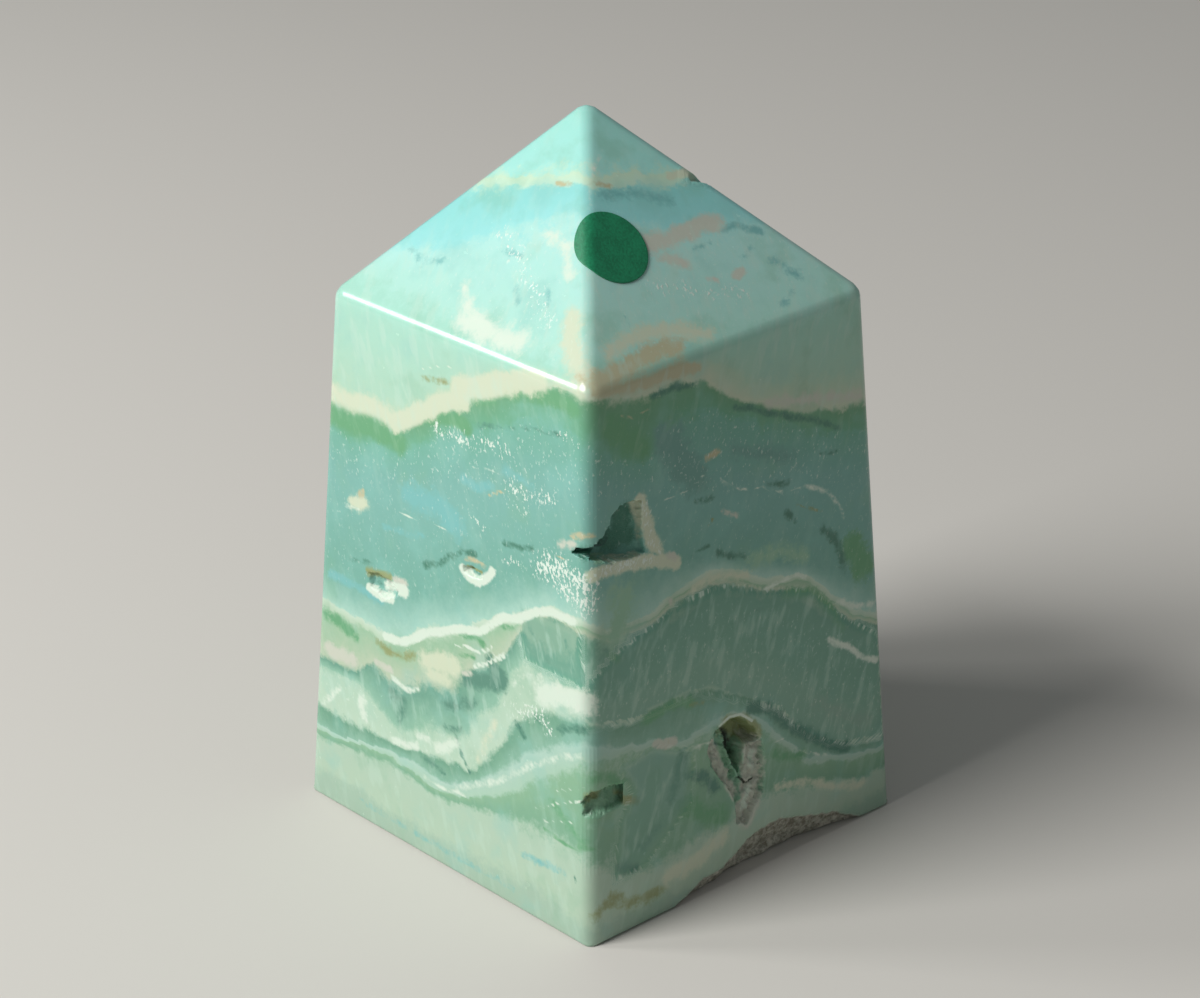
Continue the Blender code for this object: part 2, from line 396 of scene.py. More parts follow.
@dataclass(frozen=True)
class RidgeChip:
    """The small chip out of the right ridge, between a steep upper wall and a crystalline floor."""

    wall: tuple[float, float] = (8.3, 22.6)
    floor_start: tuple[float, float] = (7.5, 21.5)
    floor_end: tuple[float, float] = (10.0, 20.2)
    fall_away: float = 0.5

    def heights(self, points: np.ndarray) -> tuple[np.ndarray, np.ndarray, np.ndarray]:
        """Return the floor's normal, and how far each point is over the floor and beyond the wall."""
        start = RIGHT_ROOF.at(*self.floor_start)
        run = unit(RIGHT_ROOF.at(*self.floor_end) - start)
        away = unit(np.array([-0.3, 1.0, -self.fall_away]))
        floor_normal = unit(np.cross(run, away))
        floor_normal = floor_normal * np.sign(floor_normal[2])
        wall_normal = unit(np.cross(away, RIGHT_ROOF.at(*self.wall) - start))
        wall_normal = wall_normal * np.sign(wall_normal @ run)
        near = np.linalg.norm(points - RIGHT_ROOF.at(*self.floor_end), axis=1) < 6.0
        over = np.where(near, (points - start) @ floor_normal, -99.0)
        return floor_normal, over, (points - start) @ wall_normal

    def push(self, points: np.ndarray) -> np.ndarray:
        """Return how each point moves to form the chip."""
        normal, over, beyond = self.heights(points)
        cut = (over > 0.0) & (beyond > 0.0)
        moved = np.zeros_like(points)
        if cut.any():
            rough = 0.12 * rolling(points[cut], 0.7, 2.2, 3)
            depth = np.maximum(over[cut] + rough - 0.06, 0.0) * smooth_step(0.0, 0.25, beyond[cut])
            moved[cut] = np.outer(-depth, normal)
        return moved

    def nearness(self, points: np.ndarray) -> np.ndarray:
        """Return 1 at the chip, falling to 0 a millimetre from it."""
        _, over, beyond = self.heights(points)
        return smooth_step(-1.0, -0.2, np.minimum(over, beyond))


@dataclass(frozen=True)
class Layer:
    """One growth layer of the stone.

    Attributes:
        name: what it is.
        top: the line of its top edge over the two front sides, as (around, height).
        upper: its colour at its top.
        lower: its colour at its bottom.
        fibrous: how strongly its fibres show.
        sugary: how much of it is fine white crystal.
    """

    name: str
    top: Places
    upper: Colour
    lower: Colour
    fibrous: float = 0.5
    sugary: float = 0.0


LAYERS: list[Layer] = [
    Layer("tip", [(0, 99.5), (2, 99.5)], (0.40, 0.70, 0.63), (0.42, 0.72, 0.66), 0.3),
    Layer("tip_band", [(0, 88.6), (0.1, 88.8), (0.27, 89.7), (0.54, 90.9), (0.74, 91.5), (1, 92.1), (1.29, 91.2),
                       (1.54, 91.2), (1.75, 90.1), (2, 89.7)],
          (0.58, 0.72, 0.57), (0.55, 0.72, 0.60), 0.2),
    Layer("roof_aqua", [(0, 87.6), (0.1, 87.8), (0.27, 88.6), (0.54, 89.8), (0.74, 90.4), (1, 91.0), (1.29, 90.1),
                        (1.54, 90.2), (1.75, 88.8), (2, 88.7)],
          (0.33, 0.66, 0.63), (0.37, 0.69, 0.67), 0.35, 0.1),
    Layer("brush", [(0, 78.5), (0.2, 80.4), (0.4, 84), (0.6, 86), (0.8, 87.8), (1, 88.0), (1.3, 86), (1.6, 85),
                    (2, 83.5)],
          (0.46, 0.72, 0.67), (0.45, 0.70, 0.62), 0.9, 0.2),
    Layer("mint", [(0, 76), (0.3, 75), (0.6, 74), (0.9, 74.5), (1, 75.5), (1.2, 75), (1.5, 74), (1.8, 73), (2, 74)],
          (0.40, 0.66, 0.56), (0.43, 0.63, 0.51), 1.0, 0.05),
    Layer("cream", [(0, 61.5), (0.1, 60.5), (0.2, 60.8), (0.3, 60.8), (0.4, 64.3), (0.5, 67.2), (0.6, 69.4),
                    (0.7, 71.0), (0.8, 72.4), (0.9, 73.6), (1, 74), (1.1, 73.4), (1.2, 73), (1.35, 73.2),
                    (1.45, 71), (1.55, 68), (1.65, 66.3), (1.8, 64.3), (2, 63)],
          (0.48, 0.63, 0.49), (0.57, 0.63, 0.49), 1.0),
    Layer("green", [(0, 57.3), (0.1, 57.4), (0.2, 58.2), (0.27, 57.4), (0.32, 58.6), (0.4, 61.3), (0.5, 64.2),
                    (0.55, 65.4), (0.6, 66.8), (0.7, 69.3), (0.8, 71.2), (0.9, 72.3), (1, 72.2), (1.1, 70.8),
                    (1.2, 70.6), (1.3, 70.8), (1.4, 69.3), (1.5, 65.8), (1.6, 63.8), (1.7, 61.3), (1.8, 60.2),
                    (1.9, 59.5), (2, 59)],
          (0.18, 0.40, 0.24), (0.18, 0.43, 0.29), 0.35, 0.1),
    Layer("teal", [(0, 54.5), (0.2, 54.4), (0.3, 55), (0.4, 58.3), (0.5, 61.5), (0.6, 63), (0.7, 64.8),
                   (0.8, 67), (0.9, 68.3), (1, 67), (1.1, 63), (1.2, 62), (1.3, 66), (1.4, 66.8), (1.5, 64),
                   (1.6, 61.6), (1.7, 59.6), (1.8, 57.8), (1.9, 56.3), (2, 55.5)],
          (0.21, 0.46, 0.37), (0.24, 0.47, 0.42), 0.25, 0.3),
    Layer("aqua", [(0, 49), (0.2, 49.5), (0.4, 52), (0.6, 55.5), (0.8, 58), (1, 60), (1.2, 57), (1.35, 55.5),
                   (1.5, 54), (1.7, 52.5), (1.9, 49), (2, 48)],
          (0.25, 0.48, 0.43), (0.22, 0.45, 0.38), 0.2, 0.2),
    Layer("pale_blue", [(0, 33), (0.2, 33.5), (0.35, 36), (0.5, 39), (0.6, 41), (0.7, 43.5), (0.8, 46.5), (0.9, 48),
                        (1, 49.5), (1.2, 47.5), (1.4, 46), (1.6, 43), (1.8, 38.5), (1.9, 35), (2, 34)],
          (0.27, 0.49, 0.42), (0.42, 0.62, 0.54), 0.15, 0.05),
    Layer("white_line", [(0, 29.2), (0.2, 29.2), (0.27, 28.7), (0.33, 29.4), (0.4, 31.8), (0.5, 34.3), (0.6, 36.2),
                         (0.65, 37.8), (0.7, 39.5), (0.75, 40.4), (0.8, 42.2), (0.86, 43.4), (0.93, 43.8),
                         (1, 43.5), (1.1, 42), (1.2, 42), (1.3, 43.5), (1.4, 44.4), (1.5, 43), (1.6, 40.2),
                         (1.7, 39.6), (1.76, 37.6), (1.8, 35.4), (1.87, 32.2), (1.95, 29.6), (2, 29)],
          (0.56, 0.67, 0.56), (0.50, 0.62, 0.49), 0.2),
    Layer("sage", [(0, 28.3), (0.2, 28.4), (0.27, 27.9), (0.33, 28.5), (0.4, 30.8), (0.5, 33.3), (0.6, 35.3),
                   (0.65, 36.8), (0.7, 38.7), (0.75, 39.5), (0.8, 41.6), (0.86, 42.8), (0.93, 43.1), (1, 42.8),
                   (1.1, 41.2), (1.2, 41.3), (1.3, 42.8), (1.4, 43.5), (1.5, 42), (1.6, 39.4), (1.7, 38.6),
                   (1.76, 36.6), (1.8, 34.4), (1.87, 31.4), (1.95, 28.8), (2, 28.2)],
          (0.36, 0.53, 0.38), (0.50, 0.58, 0.45), 0.3),
    Layer("teal_fibre", [(0, 20.5), (0.17, 21), (0.22, 24), (0.3, 22.6), (0.35, 22.8), (0.4, 24), (0.5, 25.3),
                         (0.55, 27), (0.58, 29.4), (0.63, 31.4), (0.68, 33.3), (0.72, 35), (0.76, 39), (0.8, 41.2),
                         (0.86, 42.3), (0.93, 42.6), (1, 42), (1.1, 40.5), (1.2, 40.7), (1.3, 42.2), (1.4, 42.6),
                         (1.5, 41), (1.6, 38.8), (1.7, 37.4), (1.8, 33.5), (1.87, 30.5), (1.95, 28), (2, 27.5)],
          (0.15, 0.36, 0.27), (0.28, 0.49, 0.38), 0.9, 0.05),
    Layer("fan", [(0, 19.5), (0.2, 20), (0.27, 17), (0.35, 16), (0.42, 18.5), (0.5, 19.5), (0.57, 20),
                  (0.62, 24.5), (0.68, 26.5), (0.72, 32), (0.76, 35), (0.82, 34.5), (1.0, 35), (1.1, 36.5),
                  (1.2, 38), (1.3, 39), (1.4, 39.5), (1.5, 38.5), (1.6, 36.5), (1.7, 34), (1.8, 30.5),
                  (1.87, 28), (1.95, 25.5), (2, 25)],
          (0.46, 0.61, 0.49), (0.50, 0.63, 0.51), 1.0, 0.25),
    Layer("low_teal", [(0, 13.5), (0.3, 13.5), (0.4, 14.5), (0.5, 15), (0.6, 15.8), (0.65, 18), (0.7, 22),
                       (0.75, 25.5), (0.8, 28.5), (0.85, 29.8), (1, 30.3), (1.1, 29), (1.15, 28.8), (1.22, 29.6),
                       (1.3, 29.8), (1.4, 28.4), (1.5, 25.8), (1.6, 22), (1.68, 18), (1.75, 14.8), (1.85, 11.8),
                       (1.95, 10.2), (2, 10)],
          (0.19, 0.39, 0.28), (0.28, 0.48, 0.38), 0.4, 0.1),
    Layer("pale_band", [(0, 10.5), (0.2, 10.8), (0.3, 12.5), (0.4, 12.5), (0.5, 12), (0.55, 13.3), (0.6, 14.6),
                        (0.7, 18.5), (0.75, 21), (0.8, 23), (0.85, 24.5), (0.9, 26), (0.95, 27.3), (1, 27.6),
                        (1.1, 25.6), (1.2, 24.8), (1.3, 23), (1.4, 24), (1.5, 24), (1.6, 19), (1.7, 13),
                        (1.8, 11), (1.9, 9.6), (2, 9.5)],
          (0.46, 0.62, 0.54), (0.44, 0.60, 0.49), 0.25),
    Layer("swirl", [(0, 9.7), (0.3, 11.4), (0.5, 10.5), (0.6, 12), (0.7, 15), (0.75, 16.5), (0.8, 19),
                    (0.85, 20.5), (0.9, 22), (0.95, 24), (1, 25.5), (1.05, 25.4), (1.1, 24.8), (1.2, 24.2),
                    (1.3, 22.3), (1.4, 23), (1.5, 23), (1.6, 18), (1.7, 12.3), (1.8, 10.2), (1.9, 9), (2, 8.8)],
          (0.29, 0.48, 0.33), (0.24, 0.44, 0.31), 0.5),
    Layer("low_fibre", [(0, 9), (0.3, 10.5), (0.5, 9.8), (0.6, 11), (0.7, 12), (0.8, 13), (0.9, 13.3), (1, 12.5),
                        (1.1, 8), (1.2, 7), (1.3, 8), (1.4, 8.5), (1.5, 9), (1.6, 10.5), (1.7, 9), (1.8, 7.2),
                        (1.9, 6), (2, 5.8)],
          (0.45, 0.58, 0.47), (0.46, 0.58, 0.46), 0.75),
    Layer("foot", [(0, 4), (0.5, 3.5), (0.8, 4), (1, 3), (1.2, 2.5), (1.5, 2.5), (2, 3)],
          (0.40, 0.53, 0.43), (0.38, 0.50, 0.40), 0.5),
]


@dataclass(frozen=True)
class Growth:
    """Turns a place on the stone into its depth through the growth layers.

    Attributes:
        swell: how high the layers rise and fall over the two far sides.
        least: the thinnest that a layer gets.
    """

    swell: float = 4.5
    least: float = 0.12

    def depth(self, points: np.ndarray, around: np.ndarray) -> np.ndarray:
        """Return how many layers down from the tip each point lies.

        Args:
            points: places on the uncut stone.
            around: how far around the tower each one is.

        Returns:
            The whole part names a layer, and the rest is the share of it that lies above.
        """
        turn = np.mod(around, 4.0)
        far = np.clip(turn - 2.0, 0.0, 2.0)
        window = np.sin(math.pi * far / 2) ** 2
        wave = np.sin(4.1 * far + 0.055 * points[:, 2]) + 0.6 * np.sin(8.3 * far - 0.09 * points[:, 2] + 1.0)
        height = points[:, 2] - self.swell * window * wave
        height += 0.55 * rolling(points, 5.0, 1.3, 3) + 0.3 * rolling(points, 1.6, 9.1, 2)
        tops = []
        for layer in LAYERS:
            places = [p[0] for p in layer.top] + [4.0]
            heights = [p[1] for p in layer.top] + [layer.top[0][1]]
            offsets = (-0.024, -0.012, 0.0, 0.012, 0.024)
            line = sum(np.interp(np.mod(turn + step, 4.0), places, heights) for step in offsets) / len(offsets)
            tops.append(line if not tops else np.minimum(line, tops[-1] - self.least))
        tops.append(np.minimum(np.full(len(points), -3.0), tops[-1] - 1.0))
        depth = np.zeros(len(points))
        for index, (top, bottom) in enumerate(zip(tops, tops[1:])):
            inside = height <= top
            depth[inside] = index + np.clip((top - height) / (top - bottom), 0.0, 1.0)[inside]
        return depth


class Tone(Enum):
    """The colours of the stone's patches and lines, laid over the layers in this order; the near-black last one is
    painted shade, not a colour of the stone.
    """

    AQUA = (0.24, 0.51, 0.49)
    GREEN = (0.17, 0.41, 0.23)
    SAGE = (0.34, 0.54, 0.40)
    SLATE = (0.20, 0.40, 0.35)
    OLIVE = (0.33, 0.38, 0.19)
    DEEP = (0.09, 0.27, 0.20)
    CREAM = (0.61, 0.66, 0.52)
    PINK = (0.58, 0.60, 0.52)
    TAN = (0.54, 0.52, 0.36)
    WHITE = (0.66, 0.74, 0.65)
    SUGAR = (0.70, 0.77, 0.70)
    # near-black painted shade, laid where shadow falls deep in the slot and the pit
    DARK = (0.05, 0.07, 0.045)


@dataclass(frozen=True)
class Stroke:
    """A patch or line of one tone along a path on the stone.

    Attributes:
        tone: its colour.
        surface: the facet, or the whole wall, on which its path is given.
        path: its points.
        width: how far from the path it fades out.
        strength: over 1 it has a full middle, under 1 it stays faint.
    """

    tone: Tone
    surface: Facet | Wall
    path: Places
    width: float
    strength: float = 1.0

    def share(self, points: np.ndarray) -> np.ndarray:
        """Return the stroke's strength at each point, from -1 far from it."""
        ends = np.array([self.surface.at(*place) for place in self.path])
        if len(ends) == 1:
            ends = np.repeat(ends, 2, axis=0)
        margin = self.width * (self.strength + 1.0)
        near = np.all((points > ends.min(0) - margin) & (points < ends.max(0) + margin), axis=1)
        share = np.full(len(points), -1.0)
        if near.any():
            close = points[near]
            nearest = np.full(len(close), np.inf)
            for first, second in zip(ends, ends[1:]):
                along = second - first
                part = np.clip((close - first) @ along / max(along @ along, 1e-9), 0.0, 1.0)
                nearest = np.minimum(nearest, np.linalg.norm(close - first - part[:, None] * along, axis=1))
            share[near] = np.maximum(self.strength - nearest / self.width, -1.0)
        return share


def wall_strokes() -> list[Stroke]:
    """Return the patches and lines of the two front sides, by how far around and how high they are."""
    rows: list[tuple[Tone, Places, float, float]] = [
        (Tone.CREAM, [(0.03, 59.5), (0.1, 59.2), (0.2, 60), (0.28, 59)], 2.2, 0.8),
        (Tone.CREAM, [(0.28, 58.8), (0.33, 60.2), (0.4, 62.3), (0.45, 64), (0.5, 65), (0.54, 65.3)], 1.3, 1.3),
        (Tone.CREAM, [(0.52, 67), (0.6, 68.2), (0.68, 69.8), (0.75, 71), (0.82, 72)], 1.7, 1.2),
        (Tone.OLIVE, [(0.39, 66.5), (0.45, 67), (0.5, 67.3)], 1.3, 0.45),
        (Tone.GREEN, [(0.03, 56.3), (0.1, 56.2), (0.17, 56.8), (0.24, 57), (0.3, 56.3)], 1.8, 1.1),
        (Tone.GREEN, [(0.55, 66.3), (0.62, 66.5), (0.66, 67.3)], 0.9, 0.8),
        (Tone.GREEN, [(0.41, 61.6), (0.46, 62.4), (0.52, 63), (0.56, 62.4)], 1.3, 1.1),
        (Tone.GREEN, [(0.72, 69.3), (0.8, 70.4), (0.88, 70.8), (0.95, 70.5)], 1.6, 0.9),
        (Tone.DEEP, [(0.6, 63.3), (0.7, 64.5), (0.8, 65.8), (0.9, 66.5)], 1.2, 0.3),
        (Tone.WHITE, [(0.38, 67.6), (0.44, 68.7), (0.5, 69.5)], 0.3, 0.6),
        (Tone.SUGAR, [(0.44, 60.5), (0.55, 60.5), (0.63, 61.5), (0.7, 61.5)], 1.8, 0.75),
        (Tone.SUGAR, [(0.72, 57), (0.8, 57), (0.88, 58)], 2.0, 0.75),
        (Tone.SUGAR, [(0.73, 54.5), (0.78, 54.5)], 1.6, 0.6),
        (Tone.SUGAR, [(0.9, 66.5), (0.96, 66.2)], 1.4, 0.6),
        (Tone.SUGAR, [(0.57, 51), (0.63, 50)], 1.4, 0.5),
        (Tone.AQUA, [(0.35, 50), (0.45, 50.4), (0.52, 48.8)], 3.2, 0.8),
        (Tone.AQUA, [(0.55, 55.5), (0.6, 55), (0.65, 56.2)], 1.1, 0.9),
        (Tone.AQUA, [(0.7, 59), (0.8, 58.5)], 2.0, 0.5),
        (Tone.WHITE, [(0.56, 57.2), (0.62, 58), (0.68, 58.2)], 0.6, 0.4),
        (Tone.DEEP, [(0.7, 49.3), (0.76, 49.8), (0.8, 50.3)], 1.0, 0.6),
        (Tone.DEEP, [(0.41, 41.3), (0.46, 42.3), (0.5, 44), (0.55, 45.6), (0.6, 46)], 1.0, 0.65),
        (Tone.DEEP, [(0.12, 37), (0.16, 37.5), (0.2, 38)], 1.3, 0.3),
        (Tone.AQUA, [(0.05, 33.5), (0.15, 33.8), (0.25, 33.3)], 1.4, 0.7),
        (Tone.AQUA, [(0.25, 44), (0.35, 44.5), (0.4, 45.3)], 1.3, 0.5),
        (Tone.CREAM, [(0.13, 45.2), (0.17, 46)], 1.6, 0.9),
        (Tone.TAN, [(0.155, 46.8), (0.165, 47.3)], 0.9, 0.8),
        (Tone.WHITE, [(0.1, 44.4), (0.15, 44.6)], 0.6, 0.7),
        (Tone.TAN, [(0.64, 54.6), (0.68, 55.8), (0.7, 56.2)], 0.5, 0.8),
        (Tone.WHITE, [(0.3, 46.8), (0.43, 47.3), (0.49, 47.6)], 0.3, 0.6),
        (Tone.WHITE, [(0.55, 43.3), (0.58, 42.5), (0.61, 42.5), (0.64, 43.6), (0.66, 44.8)], 0.8, 1.1),
        (Tone.TAN, [(0.56, 44.9), (0.6, 45.3), (0.64, 45)], 0.6, 0.8),
        (Tone.OLIVE, [(0.57, 43.9), (0.62, 44)], 0.45, 0.9),
        (Tone.OLIVE, [(0.2, 36.6), (0.24, 36.9), (0.28, 37.2)], 1.0, 0.9),
        (Tone.WHITE, [(0.2, 34.4), (0.25, 33.9), (0.29, 34.4)], 0.6, 1.3),
        (Tone.WHITE, [(0.26, 35.6), (0.3, 36.2), (0.34, 36.4)], 1.0, 1.1),
        (Tone.PINK, [(0.3, 37.2), (0.34, 37.6)], 1.0, 0.8),
        (Tone.SUGAR, [(0.84, 48.5), (0.9, 49.5), (0.96, 48.7), (1.0, 47.7)], 2.0, 1.3),
        (Tone.SUGAR, [(0.9, 47.5), (0.95, 46.5), (1.0, 45.8)], 1.8, 1.1),
        (Tone.SUGAR, [(0.71, 47), (0.75, 47.8)], 1.0, 0.9),
        (Tone.TAN, [(0.88, 50.6), (0.92, 51.1)], 0.3, 0.9),
        (Tone.TAN, [(0.94, 54.2), (0.97, 54.8), (1.02, 55)], 0.8, 0.7),
        (Tone.PINK, [(0.9, 52.5), (0.95, 53.4)], 1.3, 0.6),
        (Tone.WHITE, [(0.27, 28.6), (0.33, 29), (0.38, 30.5), (0.42, 32), (0.48, 33.3), (0.53, 34.6), (0.57, 35.3),
                      (0.62, 35.9), (0.66, 37.7), (0.7, 39.4), (0.75, 40), (0.8, 41.8), (0.86, 43.2),
                      (0.95, 43.3)], 0.65, 1.2),
        (Tone.WHITE, [(0.53, 32.3), (0.57, 33), (0.61, 32.9), (0.65, 34), (0.67, 35)], 0.35, 0.9),
        (Tone.WHITE, [(0.6, 30.8), (0.64, 31.8), (0.68, 33.4), (0.71, 34.5)], 0.5, 1.0),
        (Tone.OLIVE, [(0.24, 27.2), (0.3, 26.6), (0.35, 27), (0.38, 28)], 1.4, 0.55),
        (Tone.GREEN, [(0.04, 27.5), (0.1, 27.3), (0.16, 26.3)], 1.6, 0.75),
        (Tone.GREEN, [(0.55, 34.3), (0.6, 34.9), (0.63, 34.5)], 1.2, 0.6),
        (Tone.GREEN, [(0.55, 31.5), (0.6, 32)], 1.0, 0.5),
        (Tone.GREEN, [(0.7, 38), (0.74, 38.8)], 1.2, 0.5),
        (Tone.CREAM, [(0.42, 28), (0.48, 29), (0.53, 29.5)], 2.0, 0.9),
        (Tone.CREAM, [(0.44, 26.5), (0.5, 26.8)], 1.6, 0.8),
        (Tone.PINK, [(0.06, 22.6), (0.1, 22.5), (0.15, 22.8)], 1.6, 0.9),
        (Tone.PINK, [(0.24, 24.3), (0.3, 24.2)], 0.8, 0.9),
        (Tone.WHITE, [(0.3, 23.3), (0.36, 22.5), (0.4, 23.6)], 0.7, 0.8),
        (Tone.PINK, [(0.56, 29), (0.59, 29.5)], 0.6, 0.9),
        (Tone.DEEP, [(0.66, 32.3), (0.68, 31.5), (0.7, 31)], 1.6, 0.95),
        (Tone.DEEP, [(0.57, 28.2), (0.64, 29.5), (0.7, 30.3)], 1.8, 0.85),
        (Tone.DEEP, [(0.5, 23.5), (0.56, 24.5), (0.6, 26)], 2.2, 0.55),
        (Tone.DEEP, [(0.5, 20), (0.55, 21)], 2.0, 0.4),
        (Tone.DEEP, [(0.3, 21), (0.35, 20.5), (0.33, 18)], 2.2, 0.5),
        (Tone.DEEP, [(0.54, 19.5), (0.56, 17.5), (0.59, 15.5)], 0.6, 0.7),
        (Tone.DEEP, [(0.42, 14), (0.47, 13.8), (0.5, 13.5)], 1.3, 0.4),
        (Tone.DEEP, [(0.75, 26), (0.78, 24.6)], 0.8, 0.7),
        (Tone.DEEP, [(0.9, 28), (0.95, 29.3), (1.0, 29.5)], 1.1, 0.7),
        (Tone.DEEP, [(0.8, 29), (0.83, 27.5)], 0.8, 0.5),
        (Tone.DEEP, [(0.79, 39.8), (0.83, 38), (0.86, 36.5)], 1.5, 0.35),
        (Tone.DEEP, [(0.92, 40.5), (0.93, 38.5)], 1.0, 0.35),
        (Tone.WHITE, [(0.04, 14), (0.07, 15.5), (0.1, 17.5)], 1.3, 0.6),
        (Tone.WHITE, [(0.18, 17.5), (0.2, 15), (0.2, 18)], 1.5, 0.6),
        (Tone.WHITE, [(0.31, 14.3), (0.36, 14.6), (0.4, 15.3)], 1.0, 0.8),
        (Tone.WHITE, [(0.4, 17), (0.44, 17.3)], 1.3, 0.6),
        (Tone.WHITE, [(0.47, 16.5), (0.51, 17.5), (0.54, 18.7)], 1.4, 0.75),
        (Tone.CREAM, [(0.62, 18), (0.65, 22), (0.68, 24.3)], 1.6, 0.55),
        (Tone.SUGAR, [(0.76, 27.5), (0.8, 28.3), (0.84, 29), (0.86, 27.5)], 1.5, 0.9),
        (Tone.WHITE, [(0.74, 31), (0.78, 33), (0.84, 34)], 1.5, 0.35),
        (Tone.WHITE, [(0.84, 31.5), (0.9, 32.8), (0.96, 33), (1.0, 33.2)], 2.0, 1.0),
        (Tone.CREAM, [(0.93, 33.5), (0.98, 34)], 1.0, 0.8),
        (Tone.WHITE, [(0.55, 12.6), (0.7, 16.8), (0.8, 21), (0.9, 24.3), (0.97, 26)], 1.3, 0.45),
        (Tone.WHITE, [(0.42, 11.5), (0.5, 11.3), (0.58, 12)], 0.5, 0.7),
        (Tone.WHITE, [(0.82, 15.5), (0.88, 17.5), (0.95, 19.3), (0.99, 20.3)], 0.35, 0.75),
        (Tone.WHITE, [(0.84, 14.2), (0.9, 15.5), (0.95, 16.5)], 0.35, 0.6),
        (Tone.WHITE, [(0.87, 19), (0.93, 20.5), (1.0, 22.3)], 0.35, 0.6),
        (Tone.GREEN, [(0.85, 13.4), (0.92, 12.9), (0.97, 13.2), (1.02, 13.7)], 0.45, 0.8),
        (Tone.GREEN, [(0.88, 17.5), (0.94, 15.5), (0.98, 14.5)], 2.5, 0.4),
        (Tone.AQUA, [(0.78, 8), (0.85, 8.6), (0.92, 8.8)], 1.3, 0.5),
        (Tone.AQUA, [(0.2, 2.6), (0.5, 2.4), (0.75, 2.6)], 1.4, 0.35),
        (Tone.DEEP, [(0.95, 9.2), (0.96, 8)], 0.6, 0.5),
        (Tone.OLIVE, [(1.0, 3.5), (1.05, 5.5), (1.1, 4)], 2.2, 0.45),
        (Tone.GREEN, [(1.08, 68), (1.13, 65.5), (1.18, 64)], 3.0, 0.8),
        (Tone.DEEP, [(1.22, 70), (1.3, 70.2), (1.36, 69.5)], 1.2, 0.6),
        (Tone.DEEP, [(1.5, 64.8), (1.56, 64), (1.62, 62.5), (1.7, 61), (1.8, 59), (1.87, 57)], 1.3, 0.5),
        (Tone.TAN, [(1.11, 69), (1.16, 68), (1.21, 68.8)], 0.5, 0.5),
        (Tone.TAN, [(1.03, 73.2), (1.1, 72.4), (1.2, 71.9), (1.3, 72.2), (1.37, 71.7)], 1.3, 0.9),
        (Tone.PINK, [(1.62, 64), (1.75, 62.5), (1.85, 61.5), (1.95, 60.5)], 1.8, 0.6),
        (Tone.SLATE, [(1.27, 64), (1.3, 61), (1.33, 59), (1.36, 57.5)], 3.5, 0.9),
        (Tone.SLATE, [(1.5, 59), (1.6, 57.5), (1.7, 55.5)], 3.0, 0.5),
        (Tone.TAN, [(1.4, 59.5), (1.44, 59.8)], 1.0, 0.7),
        (Tone.TAN, [(1.39, 58.7)], 0.7, 0.6),
        (Tone.WHITE, [(1.25, 56.3), (1.3, 56), (1.36, 56.8), (1.41, 58)], 0.4, 0.5),
        (Tone.WHITE, [(1.44, 56.2), (1.5, 54), (1.55, 53.3), (1.6, 52.9)], 0.4, 0.55),
        (Tone.WHITE, [(1.6, 52.5), (1.66, 51.3), (1.72, 51)], 0.4, 0.5),
        (Tone.WHITE, [(1.74, 51), (1.82, 49), (1.86, 46.5), (1.88, 44.3)], 0.9, 0.45),
        (Tone.OLIVE, [(1.7, 49), (1.76, 47.5), (1.8, 46.5)], 0.6, 0.45),
        (Tone.DEEP, [(1.35, 54.5), (1.42, 54)], 1.3, 0.4),
        (Tone.DEEP, [(1.61, 53), (1.68, 52.3)], 1.1, 0.5),
        (Tone.DEEP, [(1.67, 48.5), (1.7, 46.8)], 1.5, 0.5),
        (Tone.DEEP, [(1.34, 47.5), (1.4, 48)], 0.8, 0.5),
        (Tone.DEEP, [(1.43, 46.5), (1.47, 45.5), (1.52, 44.7)], 1.2, 0.55),
        (Tone.DEEP, [(1.8, 44), (1.85, 41.5), (1.87, 37)], 1.8, 0.5),
        (Tone.DEEP, [(1.8, 54.5), (1.86, 54)], 1.0, 0.4),
        (Tone.GREEN, [(1.9, 40), (1.94, 36.5)], 3.0, 0.95),
        (Tone.PINK, [(1.45, 51.8), (1.5, 50.5)], 1.0, 0.5),
        (Tone.OLIVE, [(1.42, 51.5), (1.4, 50.5)], 0.45, 0.6),
        (Tone.SAGE, [(1.55, 44), (1.65, 43.5), (1.72, 41.5)], 3.0, 0.6),
        (Tone.CREAM, [(1.17, 57.5), (1.19, 54.5), (1.2, 52), (1.23, 50)], 1.3, 1.0),
        (Tone.SUGAR, [(1.18, 57), (1.195, 54.5), (1.2, 52), (1.23, 50)], 1.2, 0.7),
        (Tone.CREAM, [(1.0, 49.9), (1.08, 49.9), (1.15, 49.5), (1.2, 49.1), (1.25, 48.3), (1.29, 47.5)], 1.0, 1.2),
        (Tone.SUGAR, [(1.0, 50), (1.08, 50), (1.15, 49.6), (1.22, 49)], 1.1, 1.0),
        (Tone.PINK, [(1.26, 49), (1.29, 48)], 0.9, 0.8),
        (Tone.PINK, [(1.27, 42.5)], 1.0, 0.7),
        (Tone.SAGE, [(1.1, 46), (1.12, 43.5), (1.08, 41)], 4.0, 0.7),
        (Tone.GREEN, [(1.06, 39), (1.1, 37.5)], 1.8, 0.45),
        (Tone.CREAM, [(1.34, 43), (1.4, 43.6), (1.47, 42.8), (1.53, 41.8)], 1.4, 0.6),
        (Tone.TAN, [(1.4, 42.6), (1.45, 42.5)], 0.8, 0.4),
        (Tone.WHITE, [(1.58, 39.1), (1.64, 39.2), (1.7, 39.3), (1.73, 38.3)], 0.6, 0.75),
        (Tone.WHITE, [(1.84, 33), (1.9, 31.5), (1.97, 30.5)], 1.2, 0.5),
        (Tone.WHITE, [(1.8, 28.2), (1.87, 26), (1.92, 23.5), (1.97, 22.2)], 0.8, 0.8),
        (Tone.GREEN, [(1.66, 37.3), (1.76, 35.5), (1.82, 32), (1.85, 29)], 1.6, 0.7),
